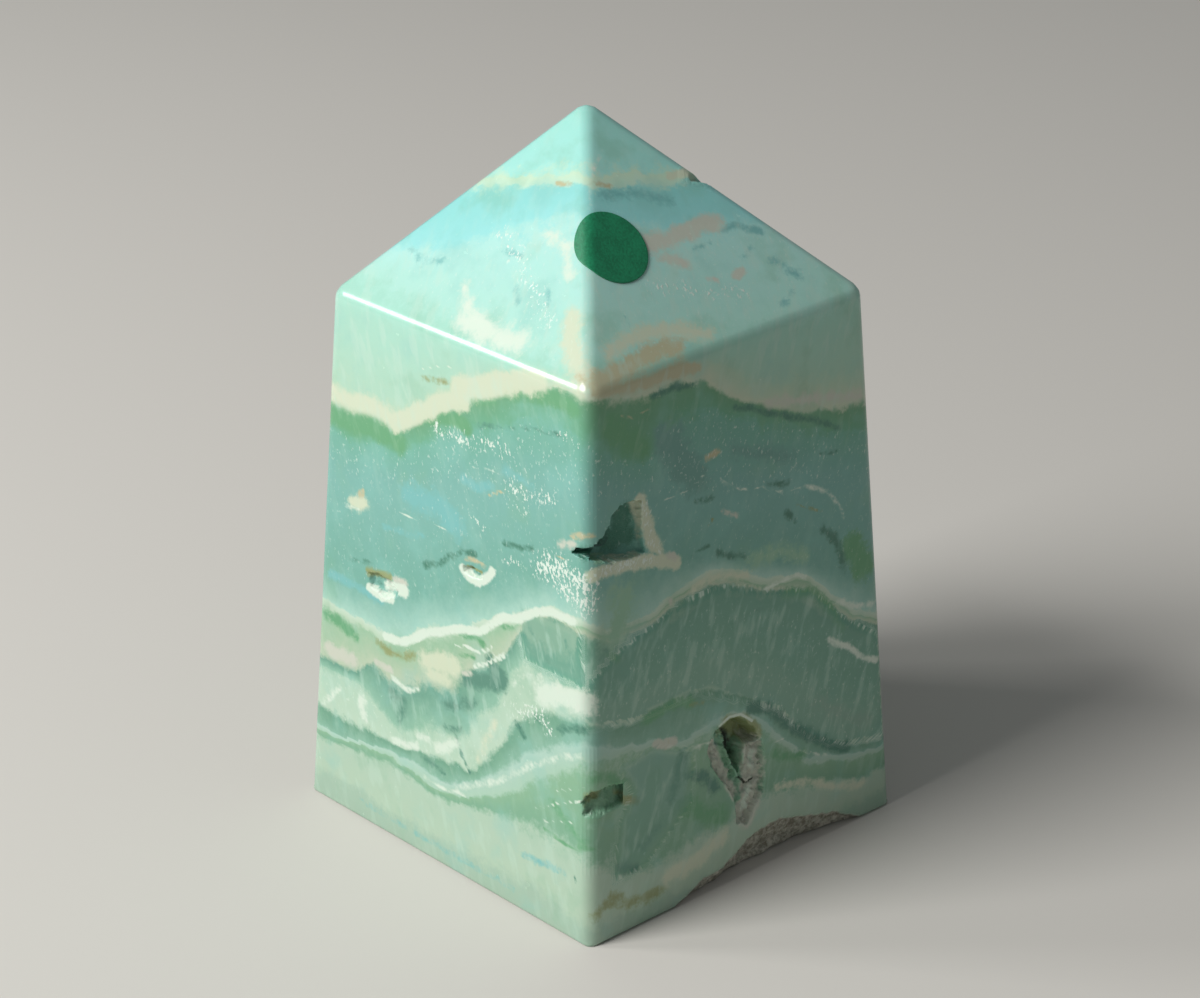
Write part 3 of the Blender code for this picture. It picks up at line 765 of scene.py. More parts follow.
        (Tone.DEEP, [(1.47, 36), (1.53, 36.5), (1.58, 36.5)], 1.5, 0.35),
        (Tone.GREEN, [(1.18, 28.2), (1.27, 28.7), (1.33, 27.8)], 1.6, 0.7),
        (Tone.OLIVE, [(1.33, 27.5), (1.37, 27)], 1.2, 0.4),
        (Tone.PINK, [(1.215, 24.3), (1.24, 23.6), (1.27, 23.5)], 0.9, 1.1),
        (Tone.TAN, [(1.25, 23.9)], 0.5, 0.8),
        (Tone.WHITE, [(1.3, 22.5), (1.33, 21.5), (1.36, 20.5)], 0.4, 0.6),
        (Tone.WHITE, [(1.34, 21.5), (1.4, 21)], 0.5, 0.6),
        (Tone.DEEP, [(1.3, 21), (1.28, 18.5), (1.26, 16)], 2.2, 0.65),
        (Tone.DEEP, [(1.32, 17.5), (1.38, 16.5), (1.4, 14.5)], 2.4, 0.6),
        (Tone.DEEP, [(1.1, 9.5), (1.14, 8.5)], 1.6, 0.65),
        (Tone.DEEP, [(1.16, 11), (1.22, 12.5)], 2.0, 0.45),
        (Tone.GREEN, [(1.3, 14), (1.38, 11), (1.42, 10)], 2.8, 0.7),
        (Tone.OLIVE, [(1.08, 19.5), (1.12, 18.5), (1.15, 17.5)], 1.3, 0.6),
        (Tone.GREEN, [(1.0, 23.5), (1.06, 22.5), (1.1, 21)], 1.8, 0.6),
        (Tone.SAGE, [(1.13, 14), (1.19, 16.5), (1.21, 20)], 2.2, 0.8),
        (Tone.DEEP, [(1.53, 23.3), (1.58, 22.5), (1.62, 20.5), (1.66, 18.3), (1.72, 16), (1.8, 12.8),
                     (1.85, 11.7)], 1.5, 0.85),
        (Tone.GREEN, [(1.6, 15.5), (1.65, 14), (1.7, 13.5)], 1.8, 0.6),
        (Tone.WHITE, [(1.66, 15.5), (1.72, 13.2), (1.78, 11.7)], 0.5, 0.55),
        (Tone.WHITE, [(1.6, 17.2), (1.64, 17.1)], 0.3, 0.8),
        (Tone.CREAM, [(1.6, 10.5), (1.7, 9.5), (1.8, 6.5), (1.9, 5)], 1.6, 0.6),
        (Tone.CREAM, [(1.25, 5), (1.35, 5.5), (1.42, 7)], 2.2, 0.8),
        (Tone.OLIVE, [(1.07, 6), (1.13, 3.8), (1.22, 3.5)], 2.2, 0.55),
        (Tone.PINK, [(1.75, 20), (1.85, 16), (1.92, 14)], 3.2, 0.5),
        # painted light: a pale strip along the right edge, where light shines through the stone's rounded edge
        (Tone.CREAM, [(1.985, 8), (1.985, 36)], 0.9, 0.5),
        (Tone.CREAM, [(1.985, 40), (1.98, 60)], 0.8, 0.4),
    ]
    return [Stroke(tone, WALL, path, width, strength) for tone, path, width, strength in rows]


def roof_strokes() -> list[Stroke]:
    """Return the patches of the point's two front facets, across and up each one."""
    left: list[tuple[Tone, Places, float, float]] = [
        (Tone.TAN, [(2, 23.3), (4.5, 23.7)], 0.7, 0.7),
        (Tone.WHITE, [(0, 3), (5, 2.5), (10, 3)], 3.2, 0.75),
        (Tone.WHITE, [(-3, 7), (0, 4)], 2.5, 0.5),
        (Tone.WHITE, [(5, 17), (9, 16), (12, 13)], 2.4, 0.5),
        (Tone.SUGAR, [(-2, 15), (4, 12), (9, 9), (13, 6)], 4.5, 0.4),
        (Tone.AQUA, [(-15, 9), (-12, 8), (-9, 9)], 2.5, 0.3),
        (Tone.AQUA, [(0, 13), (3, 13)], 1.6, 0.4),
        (Tone.AQUA, [(5, 9), (6.5, 7.5)], 1.6, 0.45),
        (Tone.AQUA, [(10, 10), (11.5, 8.5)], 1.4, 0.4),
        (Tone.CREAM, [(16, 8), (18, 5), (21, 2.5), (23, 1)], 2.6, 0.8),
        (Tone.TAN, [(21.5, 1.8), (24, 1)], 1.5, 0.6),
        (Tone.PINK, [(-19, 2.5)], 1.2, 0.4),
    ]
    right: list[tuple[Tone, Places, float, float]] = [
        (Tone.TAN, [(-22, 1), (-16, 1.6), (-12, 2.2), (-8, 1.8)], 2.0, 0.85),
        (Tone.CREAM, [(-18, 4), (-12, 5), (-6, 3.5), (-3, 2)], 2.6, 0.65),
        (Tone.PINK, [(-4, 15.5), (0, 15), (4, 15.5), (8, 15.2)], 1.9, 0.9),
        (Tone.PINK, [(-3, 13), (0, 11.5)], 2.0, 0.6),
        (Tone.PINK, [(6, 7.5), (7.5, 8)], 1.1, 0.8),
        (Tone.PINK, [(2, 8.5), (3, 8)], 1.0, 0.6),
        (Tone.AQUA, [(2, 12.5), (5, 13)], 1.3, 0.4),
        (Tone.AQUA, [(8, 14), (11, 13.8), (13.5, 12)], 1.6, 0.5),
        (Tone.AQUA, [(8.5, 9.5), (11, 10.5)], 1.4, 0.35),
        (Tone.AQUA, [(13, 8), (15, 5)], 3.0, 0.4),
        (Tone.AQUA, [(10, 2), (13, 3)], 1.6, 0.35),
        (Tone.AQUA, [(-12.9, 8), (-13, 6)], 0.5, 0.5),
        (Tone.CREAM, [(5, 22.7), (7.9, 22.8)], 0.9, 0.9),
        (Tone.TAN, [(-12, 27.5), (-8, 25.8), (-4, 24)], 0.8, 0.6),
        (Tone.AQUA, [(-6, 23), (-1, 22), (3, 20)], 2.2, 0.5),
        (Tone.SUGAR, [(-6, 10), (0, 7), (6, 5)], 4.0, 0.4),
        (Tone.WHITE, [(-2, 29), (-6, 26), (-9, 22)], 1.2, 0.3),
    ]
    made = [Stroke(tone, LEFT_ROOF, path, width, strength) for tone, path, width, strength in left]
    return made + [Stroke(tone, RIGHT_ROOF, path, width, strength) for tone, path, width, strength in right]


def hollow_strokes_with_painted_shade() -> list[Stroke]:
    """Return the colours in the hollows, across and up the side or the front edge they open in: the stone's own
    lining, with painted shade deep in the slot, in the main hollow under its lip and in the pit.
    """
    rows: list[tuple[Tone, Facet, Places, float, float]] = [
        # dark teal in the main hollow: partly the stone's own dark green, partly painted shade under the
        # overhanging lip
        (Tone.DEEP, RIGHT_SIDE, [(-18.2, 56), (-18.4, 53), (-20.5, 53)], 2.6, 0.95),
        # the deep slot: dark teal and near-black painted shade where the slot lies in shadow
        (Tone.DEEP, FRONT_EDGE, [(-1.4, 52.9), (0.6, 52.9), (1.7, 53.6)], 0.9, 1.6),
        (Tone.DARK, FRONT_EDGE, [(-1.2, 52.9), (0.6, 53.0), (1.5, 53.7)], 0.9, 0.9),
        (Tone.SAGE, RIGHT_SIDE, [(-24.2, 51.6), (-21, 51.2)], 0.6, 0.7),
        (Tone.OLIVE, RIGHT_SIDE, [(-2.6, 22.2), (0, 21.4), (1.6, 19.6)], 1.5, 1.3),
        # near-black painted shade deep in the pit and in a thin line below it
        (Tone.DARK, RIGHT_SIDE, [(-2.2, 21.6), (-0.6, 19.6), (-0.9, 16.4)], 1.0, 0.55),
        (Tone.DARK, RIGHT_SIDE, [(-0.6, 14.2), (0.8, 12.6), (2.2, 12.8)], 0.3, 0.8),
        (Tone.PINK, RIGHT_SIDE, [(1.6, 17.4), (1.8, 14.5), (1.2, 10.5), (0, 8.6)], 1.7, 1.3),
        (Tone.WHITE, RIGHT_SIDE, [(2, 16.6), (1.6, 14.9)], 1.0, 0.7),
        (Tone.WHITE, RIGHT_SIDE, [(1.2, 11.8), (0.2, 9.4)], 1.0, 0.8),
        (Tone.PINK, RIGHT_SIDE, [(-5.4, 20.6), (-4.4, 17.6), (-2.8, 14.4), (-1.6, 12)], 1.0, 1.1),
        (Tone.SLATE, RIGHT_SIDE, [(-4.6, 20.0)], 0.9, 0.8),
        (Tone.WHITE, RIGHT_SIDE, [(-4.2, 22.9), (-2.4, 23.5), (-0.4, 23.2), (1.6, 21.6)], 0.3, 0.9),
        (Tone.OLIVE, FRONT_EDGE, [(0, 20.4), (2.4, 20.8), (4.4, 20.2)], 1.2, 1.3),
        (Tone.TAN, FRONT_EDGE, [(-0.6, 20.2), (0.6, 20.6)], 0.7, 0.8),
        (Tone.WHITE, FRONT_EDGE, [(-1.1, 18.4), (0.6, 18.5), (2.4, 18.6), (4.6, 19.2)], 0.6, 1.5),
        (Tone.SAGE, FRONT_EDGE, [(0, 16.6), (2.2, 16.4), (4, 17)], 1.4, 0.8),
    ]
    return [Stroke(tone, facet, path, width, strength) for tone, facet, path, width, strength in rows]


def far_strokes() -> list[Stroke]:
    """Return a few patches for the two far sides, in the manner of the front ones."""
    made = []
    rows = (
        (Tone.CREAM, ((0.1, 61), (0.3, 64), (0.55, 61), (0.8, 59.5)), 1.8, 0.8),
        (Tone.GREEN, ((0.2, 58), (0.45, 60), (0.7, 56)), 2.2, 0.8),
        (Tone.AQUA, ((0.2, 48), (0.45, 50), (0.7, 47)), 3.4, 0.6),
        (Tone.DEEP, ((0.35, 43.5), (0.5, 45), (0.62, 44)), 1.1, 0.5),
        (Tone.SUGAR, ((0.25, 22), (0.4, 24), (0.5, 22)), 1.8, 0.8),
        (Tone.OLIVE, ((0.3, 14), (0.42, 12)), 2.0, 0.4),
        (Tone.TAN, ((0.66, 53), (0.7, 54)), 0.8, 0.7),
    )
    for side, rise in ((2.0, 0.0), (3.0, -2.6)):
        for tone, path, width, strength in rows:
            turned = [(side + share + rise * 0.04, height + rise) for share, height in path]
            made.append(Stroke(tone, WALL, turned, width, strength))
    return made


@dataclass(frozen=True)
class Fan:
    """Fibres that spread from a centre, over a patch of the wall.

    Attributes:
        centre: where they would meet, as (around, height).
        patch: the patch's outline, as (around, height).
        spread: the distance from the centre at which their spacing is true.
    """

    centre: tuple[float, float]
    patch: Places
    spread: float


FANS: list[Fan] = [
    Fan((1.5, 3.0),
        [(1.0, 30.5), (1.0, 35.5), (1.1, 38.5), (1.3, 41.5), (1.45, 41.5), (1.6, 38.5), (1.75, 36), (1.86, 30),
         (1.98, 25.5), (1.98, 11), (1.84, 12.5), (1.72, 16), (1.62, 22), (1.5, 25.5), (1.35, 29.2), (1.15, 29)],
        30.0),
    Fan((1.04, 19.0),
        [(1.08, 8.5), (1.17, 8.5), (1.32, 14), (1.33, 21), (1.2, 24), (1.1, 23), (1.14, 19), (1.1, 15.5)],
        10.0),
    Fan((0.66, 60.0),
        [(0.76, 42), (0.96, 42.5), (0.98, 35.5), (0.78, 35.5)],
        24.0),
]


@dataclass(frozen=True)
class Refinement:
    """How fine the mesh is: the longest edge on plain faces, in rough stone and along a rim."""

    plain: float = 0.78
    unseen: float = 6.0
    rough: float = 0.24
    rim: float = 0.14
    passes: int = 13


@dataclass
class Stone:
    """The stone: the cut block, its rounded edges, its hollows and breaks, and what its finish reads.

    Attributes:
        cut: the sizes of the cut.
        fine: how fine the mesh is.
        foot: the break along its foot.
        chip: the chip out of its ridge.
    """

    cut: TowerCut = CUT
    fine: Refinement = field(default_factory=Refinement)
    foot: BrokenFoot = field(default_factory=BrokenFoot)
    chip: RidgeChip = field(default_factory=RidgeChip)

    def block(self) -> bpy.types.Object:
        """Model the faceted block from a cube, in millimetres."""
        bpy.ops.object.select_all(action="DESELECT")
        bpy.ops.mesh.primitive_cube_add(size=1.0, location=(0.0, 0.0, 0.5))
        stone = bpy.context.active_object
        stone.name = "polished_calcite"
        bpy.ops.object.transform_apply(location=True, rotation=False, scale=False)
        bpy.ops.object.mode_set(mode="EDIT")
        bpy.ops.mesh.select_mode(type="FACE")
        bpy.ops.mesh.select_all(action="DESELECT")
        shape = bmesh.from_edit_mesh(stone.data)
        for face in shape.faces:
            face.select_set(face.normal.z > 0.5)
        bmesh.update_edit_mesh(stone.data)
        bpy.ops.mesh.poke()
        bpy.ops.object.mode_set(mode="OBJECT")
        for vertex in stone.data.vertices:
            x, y, z = vertex.co
            if abs(x) < 0.1:
                vertex.co = self.cut.apex
                continue
            corner = Corner((1 if x > 0 else -1, 1 if y > 0 else -1))
            vertex.co = self.cut.shoulder(corner) if z > 0.5 else self.cut.upright_at(corner, 0)
        return stone

    def round_edges(self, stone: bpy.types.Object) -> None:
        """Bevel every edge by its own rounding."""
        mesh = stone.data
        widest = self.cut.upright_rounding
        weights = mesh.attributes.new("bevel_weight_edge", "FLOAT", "EDGE")
        for edge in mesh.edges:
            low, high = sorted(mesh.vertices[i].co.z for i in edge.vertices)
            if high < 1.0:
                rounding = self.cut.foot_rounding
            elif low < 1.0:
                rounding = self.cut.upright_rounding
            elif high > max(self.cut.corner_heights) + 1.0:
                rounding = self.cut.ridge_rounding
            else:
                rounding = self.cut.shoulder_rounding
            weights.data[edge.index].value = rounding / widest
        bevel = stone.modifiers.new("rounding", "BEVEL")
        bevel.limit_method = "WEIGHT"
        bevel.offset_type = "OFFSET"
        bevel.width = widest
        bevel.segments = 6
        bpy.context.view_layer.objects.active = stone
        bpy.ops.object.modifier_apply(modifier=bevel.name)

    def longest_at(self, points: np.ndarray) -> np.ndarray:
        """Return the longest edge that each place allows."""
        longest = np.full(len(points), self.fine.plain)
        longest[points[:, 2] < 0.01] = self.fine.unseen
        for hollow in HOLLOWS.values():
            across, up, out = hollow.facet.measure(points)
            rim = inside_outline(hollow.outline, across, up)
            near = np.abs(out) < hollow.reach + 1.0
            longest[near & (rim > -0.7)] = self.fine.rough
            longest[near & (np.abs(rim - 0.1) < 0.55)] = self.fine.rim
        _, up, out = RIGHT_SIDE.measure(points)
        broken = (out > -1.2) & (points[:, 2] > 0.01) & (self.foot_line(points) - up > -0.6)
        longest[broken] = np.minimum(longest[broken], 0.3)
        chipped = self.chip.nearness(points) > 0.0
        longest[chipped] = np.minimum(longest[chipped], 0.16)
        return longest

    def foot_line(self, points: np.ndarray) -> np.ndarray:
        """Return the height of the foot's break over each point, and a low one beside it."""
        across, _, _ = RIGHT_SIDE.measure(points)
        return np.interp(across, [p[0] for p in self.foot.line], [p[1] for p in self.foot.line], -9.0, -9.0)

    def shaped(self, points: np.ndarray) -> np.ndarray:
        """Return where each point of the rounded block lies once the stone is hollowed and broken."""
        moves = self.foot.push(points, self.foot.below(points))
        pushes = [hollow.push(points, hollow.rim(points)) for hollow in HOLLOWS.values()]
        for push in [*pushes, self.chip.push(points)]:
            deeper = np.linalg.norm(push, axis=1) > np.linalg.norm(moves, axis=1)
            moves[deeper] = push[deeper]
        return points + moves

    def refine(self, stone: bpy.types.Object) -> None:
        """Split edges until none is longer than its place allows once the stone is shaped."""
        mesh = stone.data
        for _ in range(self.fine.passes):
            points = vertices_of(mesh)
            ends = np.empty(len(mesh.edges) * 2, int)
            mesh.edges.foreach_get("vertices", ends)
            ends = ends.reshape(-1, 2)
            placed = self.shaped(points)
            lengths = np.linalg.norm(placed[ends[:, 0]] - placed[ends[:, 1]], axis=1)
            plain = np.linalg.norm(points[ends[:, 0]] - points[ends[:, 1]], axis=1)
            allowed = self.longest_at((points[ends[:, 0]] + points[ends[:, 1]]) / 2)
            too_long = (lengths > allowed * 1.4) & (plain > 0.07)
            if not too_long.any() or len(mesh.polygons) > 150000:
                break
            mesh.vertices.foreach_set("select", np.zeros(len(mesh.vertices), bool))
            mesh.polygons.foreach_set("select", np.zeros(len(mesh.polygons), bool))
            mesh.edges.foreach_set("select", too_long)
            bpy.ops.object.mode_set(mode="EDIT")
            bpy.ops.mesh.select_mode(type="EDGE")
            bpy.ops.mesh.subdivide(number_cuts=1, ngon=False, quadcorner="STRAIGHT_CUT")
            bpy.ops.object.mode_set(mode="OBJECT")
        log.info("refined to %d faces", len(mesh.polygons))

    def keep(self, stone: bpy.types.Object, name: str, values: np.ndarray) -> None:
        """Keep one number for each vertex under a name that the finish reads."""
        stone.data.attributes.new(name, "FLOAT", "POINT").data.foreach_set("value", values.astype(np.float32))

    def mark(self, stone: bpy.types.Object, points: np.ndarray) -> None:
        """Work out all that the finish reads, from the places of the uncut stone."""
        around = WALL.around(points)
        depth = Growth().depth(points, around)
        self.keep(stone, "layer", depth)
        index = np.clip(np.floor(depth).astype(int), 0, len(LAYERS) - 1)
        self.keep(stone, "fibrous", np.array([layer.fibrous for layer in LAYERS])[index])
        strokes = [*wall_strokes(), *roof_strokes(), *hollow_strokes_with_painted_shade(), *far_strokes()]
        shares = {tone: np.full(len(points), -1.0) for tone in Tone}
        shares[Tone.SUGAR] = np.array([layer.sugary for layer in LAYERS])[index] - 0.25
        for stroke in strokes:
            np.maximum(shares[stroke.tone], stroke.share(points), out=shares[stroke.tone])
        for tone, share in shares.items():
            self.keep(stone, tone.name.lower(), np.clip(share, -1.0, 1.5))
        raw = smooth_step(-0.1, 0.3, self.foot.below(points))
        self.keep(stone, "broken", raw)
        inner = np.zeros(len(points))
        for hollow in HOLLOWS.values():
            inner = np.maximum(inner, smooth_step(0.0, 0.4, hollow.rim(points)))
        self.keep(stone, "inner", np.maximum(inner, self.chip.nearness(points) * 0.8))
        self.mark_fans(stone, points, around)

    def mark_fans(self, stone: bpy.types.Object, points: np.ndarray, around: np.ndarray) -> None:
        """Work out where the fans are, and for each place which fibre of its fan it is on."""
        weight = np.zeros(len(points))
        fibre = np.zeros((len(points), 3))
        for fan in FANS:
            across = (around - fan.centre[0]) * AROUND_MM
            up = points[:, 2] - fan.centre[1]
            outline = [(place * AROUND_MM, height) for place, height in fan.patch]
            rim = inside_outline(outline, around * AROUND_MM, points[:, 2])
            inside = rim > -0.8
            angle = np.arctan2(across, up)
            fibre[inside, 0] = (angle * fan.spread)[inside]
            fibre[inside, 1] = np.hypot(across, up)[inside]
            weight = np.maximum(weight, smooth_step(-0.3, 1.2, rim))
        self.keep(stone, "fan", weight)
        stone.data.attributes.new("fibre", "FLOAT_VECTOR", "POINT").data.foreach_set(
            "vector", fibre.astype(np.float32).ravel()
        )

    def build(self) -> bpy.types.Object:
        """Build the finished stone at the origin, in metres."""
        stone = self.block()
        self.round_edges(stone)
        self.refine(stone)
        points = vertices_of(stone.data)
        self.mark(stone, points)
        stone.data.vertices.foreach_set("co", (self.shaped(points) * MM).ravel())
        stone.data.update()
        bpy.ops.object.select_all(action="DESELECT")
        stone.select_set(True)
        bpy.ops.object.shade_smooth()
        return stone


def vertices_of(mesh: bpy.types.Mesh) -> np.ndarray:
    """Return a mesh's vertices, one row each."""
    points = np.empty(len(mesh.vertices) * 3)
    mesh.vertices.foreach_get("co", points)
    return points.reshape(-1, 3)


class Shading:
    """Adds and joins the nodes of one material."""

    def __init__(self, name: str) -> None:
        """Start a material with its shader.

        Args:
            name: the material's name.
        """
        self.material = bpy.data.materials.new(name)
        self.material.use_nodes = True
        self.tree = self.material.node_tree
        self.shader = self.tree.nodes["Principled BSDF"]

    def node(self, kind: str, **settings: object) -> bpy.types.Node:
        """Add a node of a kind with its settings."""
        made = self.tree.nodes.new(kind)
        for name, value in settings.items():
            setattr(made, name, value)
        return made

    def feed(self, socket: bpy.types.NodeSocket, value: object) -> None:
        """Join a socket to an output, or set its value."""
        if isinstance(value, bpy.types.NodeSocket):
            self.tree.links.new(value, socket)
        else:
            socket.default_value = value

    def math(self, operation: str, *values: object, clamp: bool = False) -> bpy.types.NodeSocket:
        """Return the result of one operation on up to three values."""
        made = self.node("ShaderNodeMath", operation=operation, use_clamp=clamp)
        for socket, value in zip(made.inputs, values):
            self.feed(socket, value)
        return made.outputs[0]

    def step(self, value: object, low: float, high: float) -> bpy.types.NodeSocket:
        """Return a smooth rise from 0 to 1 while the value goes from low to high."""
        made = self.node("ShaderNodeMapRange", interpolation_type="SMOOTHSTEP")
        for socket, number in zip(made.inputs, (value, low, high, 0.0, 1.0)):
            self.feed(socket, number)
        return made.outputs[0]

    def mix(self, share: object, first: object, second: object) -> bpy.types.NodeSocket:
        """Return a mix of two colours."""
        made = self.node("ShaderNodeMix", data_type="RGBA")
        for index, value in ((0, share), (6, first), (7, second)):
            self.feed(made.inputs[index], (*value, 1.0) if isinstance(value, tuple) else value)
        return made.outputs[2]

    def attribute(self, name: str, output: str = "Fac") -> bpy.types.NodeSocket:
        """Return what the mesh keeps under a name."""
        return self.node("ShaderNodeAttribute", attribute_name=name).outputs[output]

    def millimetres(self) -> bpy.types.NodeSocket:
        """Return the place on the object in millimetres."""
        scaled = self.node("ShaderNodeVectorMath", operation="SCALE")
        self.feed(scaled.inputs[0], self.node("ShaderNodeTexCoord").outputs["Object"])
        scaled.inputs["Scale"].default_value = 1.0 / MM
        return scaled.outputs[0]

    def stretched(self, place: object, along: Vector, wide: float, long: float) -> bpy.types.NodeSocket:
        """Return places measured in streaks that run along a direction.

        Args:
            place: the places to measure.
            along: the streaks' direction.
            wide: how wide a streak is.
            long: how long it is.

        Returns:
            The stretched places.
        """
        turned = self.node("ShaderNodeMapping", vector_type="TEXTURE")
        self.feed(turned.inputs["Vector"], place)
        turned.inputs["Rotation"].default_value = Vector((0, 0, 1)).rotation_difference(along).to_euler()
        turned.inputs["Scale"].default_value = (wide, wide, long)
        return turned.outputs[0]

    def noise(self, place: object, size: float, detail: float = 2.0, rough: float = 0.5) -> bpy.types.NodeSocket:
        """Return noise from about 0.2 to 0.8 whose swells have a size."""
        made = self.node("ShaderNodeTexNoise")
        self.feed(made.inputs["Vector"], place)
        made.inputs["Scale"].default_value = 1.0 / size
        made.inputs["Detail"].default_value = detail
        made.inputs["Roughness"].default_value = rough
        return made.outputs[0]


@dataclass(frozen=True)
class CalciteFinish:
    """Polished translucent calcite: layered colour, fibres, sugary crystal, rough stone where it is broken, painted
    shade in the deep hollows and a strip of painted light along the right edge.
    """

    lean: tuple[float, float, float] = (-0.36, 0.36, 1.0)
    polish: float = 0.24
    raw: float = 0.8
    glow: float = 0.22
    glow_depth: float = 0.0011
    depth_of_colour: float = 1.32

    def layered(self, work: Shading, depth: bpy.types.NodeSocket) -> bpy.types.NodeSocket:
        """Return the colour of each layer, from two ramps for the upper and lower layers."""
        half = (len(LAYERS) + 1) // 2
        ramps = []
        for first, layers in ((0, LAYERS[:half]), (half, LAYERS[half:])):
            made = work.node("ShaderNodeValToRGB")
            work.feed(made.inputs[0], work.math("DIVIDE", work.math("SUBTRACT", depth, float(first)), len(layers)))
            stops = made.color_ramp.elements
            stops.remove(stops[0])
            stops[0].position = 0.0
            stops[0].color = (*layers[0].upper, 1.0)
            for index, layer in enumerate(layers):
                for share, colour in ((0.12, layer.upper), (0.88, layer.lower)):
                    stop = stops.new((index + share) / len(layers))
                    stop.color = (*colour, 1.0)
            ramps.append(made.outputs[0])
        return work.mix(work.step(depth, half - 0.12, half + 0.12), ramps[0], ramps[1])

    def make(self) -> bpy.types.Material:
        """Make the material."""
        work = Shading("polished_calcite")
        place = work.millimetres()
        lean = Vector(self.lean).normalized()
        fine = work.noise(place, 0.45, 3.0, 0.6)
        cloud = work.noise(place, 7.0, 4.0, 0.55)
        mottle = work.noise(place, 1.7, 4.0, 0.62)
        thread = work.noise(work.stretched(place, lean, 0.34, 7.0), 1.0, 3.0, 0.6)
        bundle = work.noise(work.stretched(place, lean, 1.5, 12.0), 1.0, 3.0, 0.55)
        fan_place = work.node("ShaderNodeMapping")
        work.feed(fan_place.inputs["Vector"], work.attribute("fibre", "Vector"))
        fan_place.inputs["Scale"].default_value = (2.0, 0.09, 1.0)
        fan_thread = work.noise(fan_place.outputs[0], 1.0, 4.0, 0.65)
        fan = work.attribute("fan")
        fibre = work.node("ShaderNodeMix", data_type="FLOAT")
        for socket, value in zip(fibre.inputs, (fan, thread, fan_thread)):
            work.feed(socket, value)
        threads = fibre.outputs[0]
        fibrous = work.math("MAXIMUM", work.attribute("fibrous"), fan)
        bend = work.math("MULTIPLY", work.math("SUBTRACT", threads, 0.5), work.math("MULTIPLY", fibrous, 1.1))
        depth = work.math("ADD", work.attribute("layer"), bend)
        depth = work.math("ADD", depth, work.math("MULTIPLY", work.math("SUBTRACT", fine, 0.5), 0.25))
        depth = work.math("ADD", depth, work.math("MULTIPLY", work.math("SUBTRACT", mottle, 0.5), 0.55))
        colour = self.layered(work, depth)
        colour = work.mix(work.math("MULTIPLY", work.step(cloud, 0.5, 0.72), 0.35), colour, (0.30, 0.56, 0.51))
        colour = work.mix(work.math("MULTIPLY", work.step(cloud, 0.48, 0.28), 0.3), colour, (0.26, 0.47, 0.33))
        # the sugar, the white and the near-black painted shade are left out here and laid over the fibres below
        for tone in Tone:
            if tone in (Tone.SUGAR, Tone.DARK, Tone.WHITE):
                continue
            colour = work.mix(self.patch(work, tone, mottle, fine), colour, tone.value)
        colour = work.mix(work.math("MULTIPLY", fan, 0.38), colour, (0.58, 0.66, 0.54))
        light = work.math("MULTIPLY", work.step(threads, 0.47, 0.60), work.math("MULTIPLY", fibrous, 0.74))
        colour = work.mix(light, colour, (0.70, 0.79, 0.71))
        dark = work.math("MULTIPLY", work.step(threads, 0.48, 0.37), work.math("MULTIPLY", fibrous, 0.58))
        colour = work.mix(dark, colour, (0.13, 0.36, 0.28))
        broad = work.math("MULTIPLY", work.step(bundle, 0.50, 0.68), work.math("MULTIPLY", fibrous, 0.35))
        colour = work.mix(broad, colour, (0.56, 0.70, 0.61))
        colour = work.mix(self.patch(work, Tone.WHITE, mottle, fine), colour, Tone.WHITE.value)
        sugar = self.sugar(work, place, lean)
        colour = work.mix(sugar, colour, Tone.SUGAR.value)
        # painted shade: near-black laid last, deep in the slot and the pit where shadow falls
        colour = work.mix(self.patch(work, Tone.DARK, mottle, fine), colour, Tone.DARK.value)
        broken = work.attribute("broken")
        rubble = work.mix(work.step(work.noise(place, 0.9, 4.0, 0.7), 0.35, 0.65), (0.32, 0.31, 0.25),
                          (0.66, 0.65, 0.57))
        colour = work.mix(broken, colour, rubble)
        deepened = work.node("ShaderNodeGamma")
        work.feed(deepened.inputs["Color"], colour)
        deepened.inputs["Gamma"].default_value = self.depth_of_colour
        work.feed(work.shader.inputs["Base Color"], deepened.outputs[0])
        rough = work.math("MAXIMUM", broken, work.math("MULTIPLY", work.attribute("inner"), 0.75))
        gloss = work.math("ADD", self.polish, work.math("MULTIPLY", rough, self.raw - self.polish))
        gloss = work.math("ADD", gloss, work.math("MULTIPLY", work.math("SUBTRACT", mottle, 0.5), 0.16))
        work.feed(work.shader.inputs["Roughness"], gloss)
        self.relief(work, place, rough, sugar)
        work.shader.inputs["IOR"].default_value = 1.58
        work.shader.inputs["Subsurface Weight"].default_value = self.glow
        work.shader.inputs["Subsurface Radius"].default_value = (0.55, 1.0, 0.85)
        work.shader.inputs["Subsurface Scale"].default_value = self.glow_depth
        return work.material

    def patch(
        self, work: Shading, tone: Tone, mottle: bpy.types.NodeSocket, fine: bpy.types.NodeSocket
    ) -> bpy.types.NodeSocket:
        """Return how strongly a tone covers each place, with a natural broken edge."""
        ragged = work.math("MULTIPLY", work.math("SUBTRACT", mottle, 0.5), 1.3)
        ragged = work.math("ADD", ragged, work.math("MULTIPLY", work.math("SUBTRACT", fine, 0.5), 0.5))
        return work.step(work.math("ADD", work.attribute(tone.name.lower()), ragged), -0.05, 0.6)

    def sugar(self, work: Shading, place: bpy.types.NodeSocket, lean: Vector) -> bpy.types.NodeSocket:
        """Return where small white crystals lie."""
        grain = work.noise(work.stretched(place, lean, 0.42, 0.8), 1.0, 2.0, 0.7)
        amount = work.attribute("sugar")
        raised = work.math("ADD", work.math("MULTIPLY", amount, 0.16), grain)
        found = work.step(raised, 0.60, 0.72)
        return work.math("MULTIPLY", found, work.step(amount, -0.3, 0.4))

